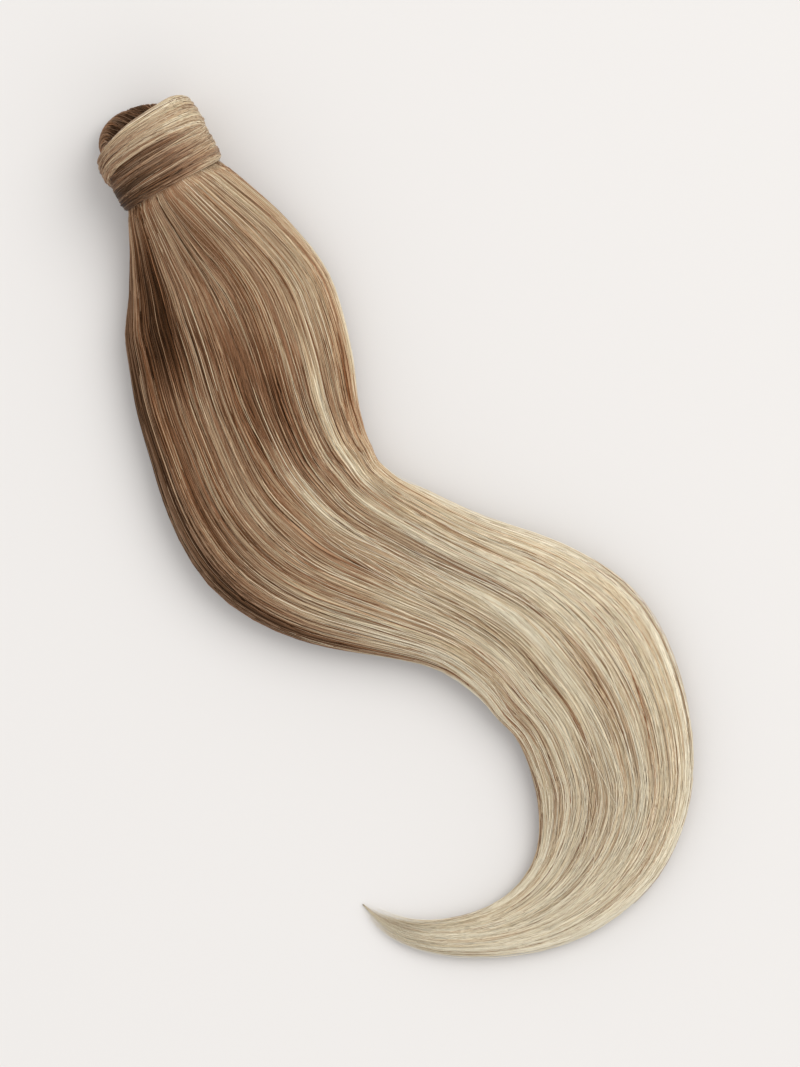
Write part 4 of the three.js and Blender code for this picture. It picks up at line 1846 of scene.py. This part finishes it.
@dataclass(frozen=True)
class WoundStrand:
    """The strand wound round the root: an inner sleeve, two wide outer turns and hair between."""

    root: RootForm
    placement: Placement
    length: float = 38.0
    wall: float = 4.9
    narrowing_from: float = 0.5
    narrowing: float = 0.62
    furrows: float = 3.0
    furrow_depth: float = 0.03
    inside: float = 0.22
    sleeve_low: float = 0.05
    sleeve_high: float = 0.58
    sleeve_build: float = 0.44
    sleeve_shade: float = 0.2
    sides: int = 44
    rings_per_turn: int = 110
    skin_depth: float = 0.9
    inset: float = 0.6
    dome_power: int = 4
    floor_gap: float = 0.3
    edge_width: float = 1.1
    side_slope: float = 3.0
    sleeve_end_power: float = 6.0
    sleeve_face_power: float = 4.0
    steps: int = 13
    habit: WoundHabit = WoundHabit()
    look: WoundLook = WoundLook()

    def along(self, which: Turn, turn: np.ndarray, across: np.ndarray) -> np.ndarray:
        """Distance from the wound strand's lower edge, in millimetres."""
        low = column_at(which.rows, "turn", "low", turn) * self.length
        high = column_at(which.rows, "turn", "high", turn) * self.length
        return (low + high) / 2 + across * (high - low) / 2

    def surface(
        self, which: Turn, turn: np.ndarray, across: np.ndarray, lift: np.ndarray
    ) -> tuple[np.ndarray, np.ndarray]:
        """Places on the outside of a turn.

        Args:
            which: The outer turn.
            turn: Turns from the left-hand side of the root.
            across: -1 at the turn's lower edge, 1 at its upper edge.
            lift: Distance out of it, in millimetres.

        Returns:
            The places and the outward directions there.
        """
        along = self.along(which, turn, across)
        edge = np.where(across < 0, which.low_edge, which.high_edge)
        dome = edge + (1 - edge) * np.sqrt(np.maximum(0, 1 - across**self.dome_power))
        furrow = self.furrow_depth * self.wall * np.cos(self.furrows * 2 * math.pi * across)
        thinned = 1 - self.narrowing * np.maximum(0, along / self.length - self.narrowing_from)
        build = column_at(which.rows, "turn", "build", turn)
        outside = self.root.clearance + build * self.wall * dome * thinned - furrow + lift
        places, out = self.root.surface(along, math.pi - 2 * math.pi * turn, outside)
        places[..., 2] = np.maximum(places[..., 2], self.floor_gap)
        return places, out

    def ripples(self, turn: np.ndarray, across: np.ndarray) -> np.ndarray:
        """Small folds that run along a turn, in millimetres.

        Args:
            turn: Turns from the left-hand side of the root.
            across: -1 at the turn's lower edge, 1 at its upper edge.

        Returns:
            How far each place stands out.
        """
        height = 0 * turn
        for fold in WRAP_FOLDS:
            bends = fold.bend * np.sin(fold.turns * turn + fold.start)
            height = height + fold.height * np.sin(fold.across * across + bends)
        return height

    def build_turn(self, which: Turn) -> bpy.types.Object:
        """One outer turn as a closed ribbon.

        Args:
            which: The outer turn.

        Returns:
            The new piece.
        """
        first, last = which.rows[0].turn, which.rows[-1].turn
        count = round((last - first) * self.rings_per_turn)
        round_section = 2 * math.pi * np.arange(self.sides)[None, :] / self.sides
        turn = np.linspace(first, last, count)[:, None] + 0 * round_section
        across = np.clip(self.edge_width * np.cos(round_section), -1, 1) + 0 * turn
        outer, _ = self.surface(which, turn, across, self.ripples(turn, across) - self.skin_depth)
        along = self.along(which, turn, across)
        grow = self.root.clearance + self.inside * self.wall
        inner, _ = self.root.surface(along, math.pi - 2 * math.pi * turn, grow + 0 * turn)
        share = (0.5 + 0.5 * np.clip(self.side_slope * np.sin(round_section), -1, 1))[..., None]
        rings = inner + (outer - inner) * share
        shade = column_at(which.rows, "turn", "shade", turn)
        return SkinMaker(self.placement).build(which.name, rings, shade, 0 * shade)

    def build_sleeve(self) -> bpy.types.Object:
        """The innermost turn, a plain closed band round the root.

        Returns:
            The new piece.
        """
        profile = 2 * math.pi * np.arange(self.sides)[:, None] / self.sides
        angle = 2 * math.pi * np.arange(self.rings_per_turn)[None, :] / self.rings_per_turn
        middle = (self.sleeve_low + self.sleeve_high) / 2 * self.length
        half = (self.sleeve_high - self.sleeve_low) / 2 * self.length
        along = middle + half * rounded(np.cos(profile), self.sleeve_end_power) + 0 * angle
        outside = self.sleeve_build * self.wall - self.skin_depth
        thick = 0.5 + 0.5 * rounded(np.sin(profile), self.sleeve_face_power)
        grow = self.root.clearance + outside * thick + 0 * angle
        rings, _ = self.root.surface(along, angle + 0 * profile, grow)
        rings = np.concatenate([rings, rings[:1]])
        shade = np.full(rings.shape[:2], self.sleeve_shade)
        return SkinMaker(self.placement).build("wrap_sleeve", rings, shade, 0 * shade)

    def build_strands(self, which: Turn) -> bpy.types.Object:
        """Strands along one outer turn, fanning a little and crossing at small angles.

        Args:
            which: The outer turn.

        Returns:
            The new piece.
        """
        habit, look, count = self.habit, self.look, which.strands
        chance = np.random.default_rng(which.seed)
        first, last = which.rows[0].turn, which.rows[-1].turn
        middle = chance.uniform(first, last, count)
        span = chance.uniform(*habit.spans, count)
        start = np.maximum(middle - span / 2, first + habit.end_gap)
        end = np.minimum(middle + span / 2, last - habit.end_gap)
        t = np.linspace(0, 1, self.steps)[None, :]
        turn = start[:, None] + (end - start)[:, None] * t
        own = chance.uniform(-habit.spread, habit.spread, count)[:, None]
        phase = chance.uniform(0, 2 * math.pi, count)[:, None]
        slant = chance.normal(0, habit.fan, count)[:, None]
        wobble = habit.wobble * np.sin(habit.wobble_rate * turn + phase)
        across = np.clip(own + slant * (t - 0.5) + wobble, -habit.limit, habit.limit)
        layer = chance.uniform(0, 1, count)[:, None] ** habit.layering
        ends = np.minimum(smooth_step(t / habit.comes_up), smooth_step((1 - t) / habit.goes_down))
        ripple = habit.ripple * np.sin(habit.ripple_rate * turn + phase)
        lift = self.ripples(turn, across) + habit.layers * layer + ripple
        lift = lift * ends - habit.depth * (1 - ends) - self.inset
        places, out = self.surface(which, turn, across, lift)
        bold = chance.uniform(0, 1, count)[:, None] < look.bold
        taper = look.end_width + (1 - look.end_width) * ends
        widths = chance.uniform(*look.widths, count)[:, None] * taper * np.where(bold, look.bold_width, 1)
        stray = np.where(bold, look.bold_tone, look.fine_tone) * chance.normal(0, 1, count)[:, None]
        bands = look.bands * np.sin(look.band_rate * own + look.band_start)
        shade = column_at(which.rows, "turn", "shade", turn) + stray + bands
        warmth = chance.normal(look.warmth, look.warmth_spread, count)[:, None] + 0 * turn
        maker = StrandMaker(self.placement)
        return maker.build(which.name + "_strands", places, out, widths, shade, warmth)

    def build(self, materials: HairMaterials) -> None:
        """Builds and dresses the wound strand.

        Args:
            materials: The hair's finishes.
        """
        attach(self.build_sleeve(), CadNode.WRAP, materials.wrap_skin)
        for which in WRAP_TURNS:
            attach(self.build_turn(which), CadNode.WRAP, materials.wrap_skin)
            attach(self.build_strands(which), CadNode.WRAP, materials.strands)


@dataclass(frozen=True)
class RootFittings:
    """The woven band and the comb inside the root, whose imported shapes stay."""

    nodes: dict[str, bpy.types.Object]

    def build(self) -> None:
        """Gives both their finishes."""
        dress(self.nodes[CadNode.BAND.value], WovenBandFinish().build())
        dress(self.nodes[CadNode.COMB.value], CombFinish().build())
        LOG.info("band and comb: packed shapes with new finishes")


@dataclass(frozen=True)
class Studio:
    """Floor, soft light from the upper right of the picture, and the camera straight above."""

    picture_turn: float = math.radians(-28.7)
    picture_middle: tuple[float, float, float] = (5.15, -13.2, 20.0)
    picture_height: float = 480.15
    lens: float = 400.0
    sensor: float = 36.0
    far_end: float = 20.0
    floor_size: float = 6.0
    sky: float = 1.0
    sky_paint: Paint = Paint(250, 250, 252)
    key_power: float = 189.0
    key_size: float = 5.2
    key_distance: float = 6.0
    key_from: tuple[float, float, float] = (0.75, 0.62, 1.25)

    def build_floor(self) -> None:
        """A pale floor just under the hairpiece."""
        bm = bmesh.new()
        bmesh.ops.create_grid(bm, x_segments=1, y_segments=1, size=self.floor_size / 2)
        floor = finish_mesh("floor", bm)
        dress(floor, FloorFinish().build())

    def build_lights(self) -> None:
        """An even sky and one large soft light."""
        world = bpy.data.worlds.new("studio")
        world.use_nodes = True
        background = world.node_tree.nodes["Background"]
        background.inputs["Color"].default_value = self.sky_paint.linear()
        background.inputs["Strength"].default_value = self.sky
        bpy.context.scene.world = world
        data = bpy.data.lights.new("key", "AREA")
        data.shape = "DISK"
        data.size = self.key_size
        data.energy = self.key_power
        key = bpy.data.objects.new("key", data)
        turned = Matrix.Rotation(self.picture_turn, 3, "Z") @ Vector(self.key_from).normalized()
        key.location = turned * self.key_distance
        key.rotation_euler = turned.to_track_quat("Z", "Y").to_euler()
        bpy.context.scene.collection.objects.link(key)

    def build_camera(self) -> None:
        """A long lens straight above, turned as the picture is."""
        data = bpy.data.cameras.new("camera")
        data.lens = self.lens
        data.sensor_width = self.sensor
        data.clip_end = self.far_end
        camera = bpy.data.objects.new("camera", data)
        x, y, z = (value * MM for value in self.picture_middle)
        distance = self.picture_height * MM * self.lens / self.sensor
        camera.location = (x, y, z + distance)
        camera.rotation_euler = (0.0, 0.0, self.picture_turn)
        bpy.context.scene.collection.objects.link(camera)
        bpy.context.scene.camera = camera

    def build(self) -> None:
        """Builds the studio."""
        bpy.context.scene.view_settings.view_transform = "Standard"
        self.build_floor()
        self.build_lights()
        self.build_camera()


def main() -> None:
    """Builds the hairpiece's look in order and reports each piece."""
    logging.basicConfig(level=logging.INFO, format="%(message)s")
    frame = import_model()
    root = RootForm()
    placement = Placement.from_band(root)
    relief = LockRelief()
    materials = HairMaterials.build()
    Tail(TailForm(root), root, relief, HairTone(relief), placement).build(materials)
    RootMouth(root, placement).build(materials)
    WoundStrand(root, placement).build(materials)
    RootFittings(frame["nodes"]).build()
    Studio().build()


if __name__ == "__main__":
    main()
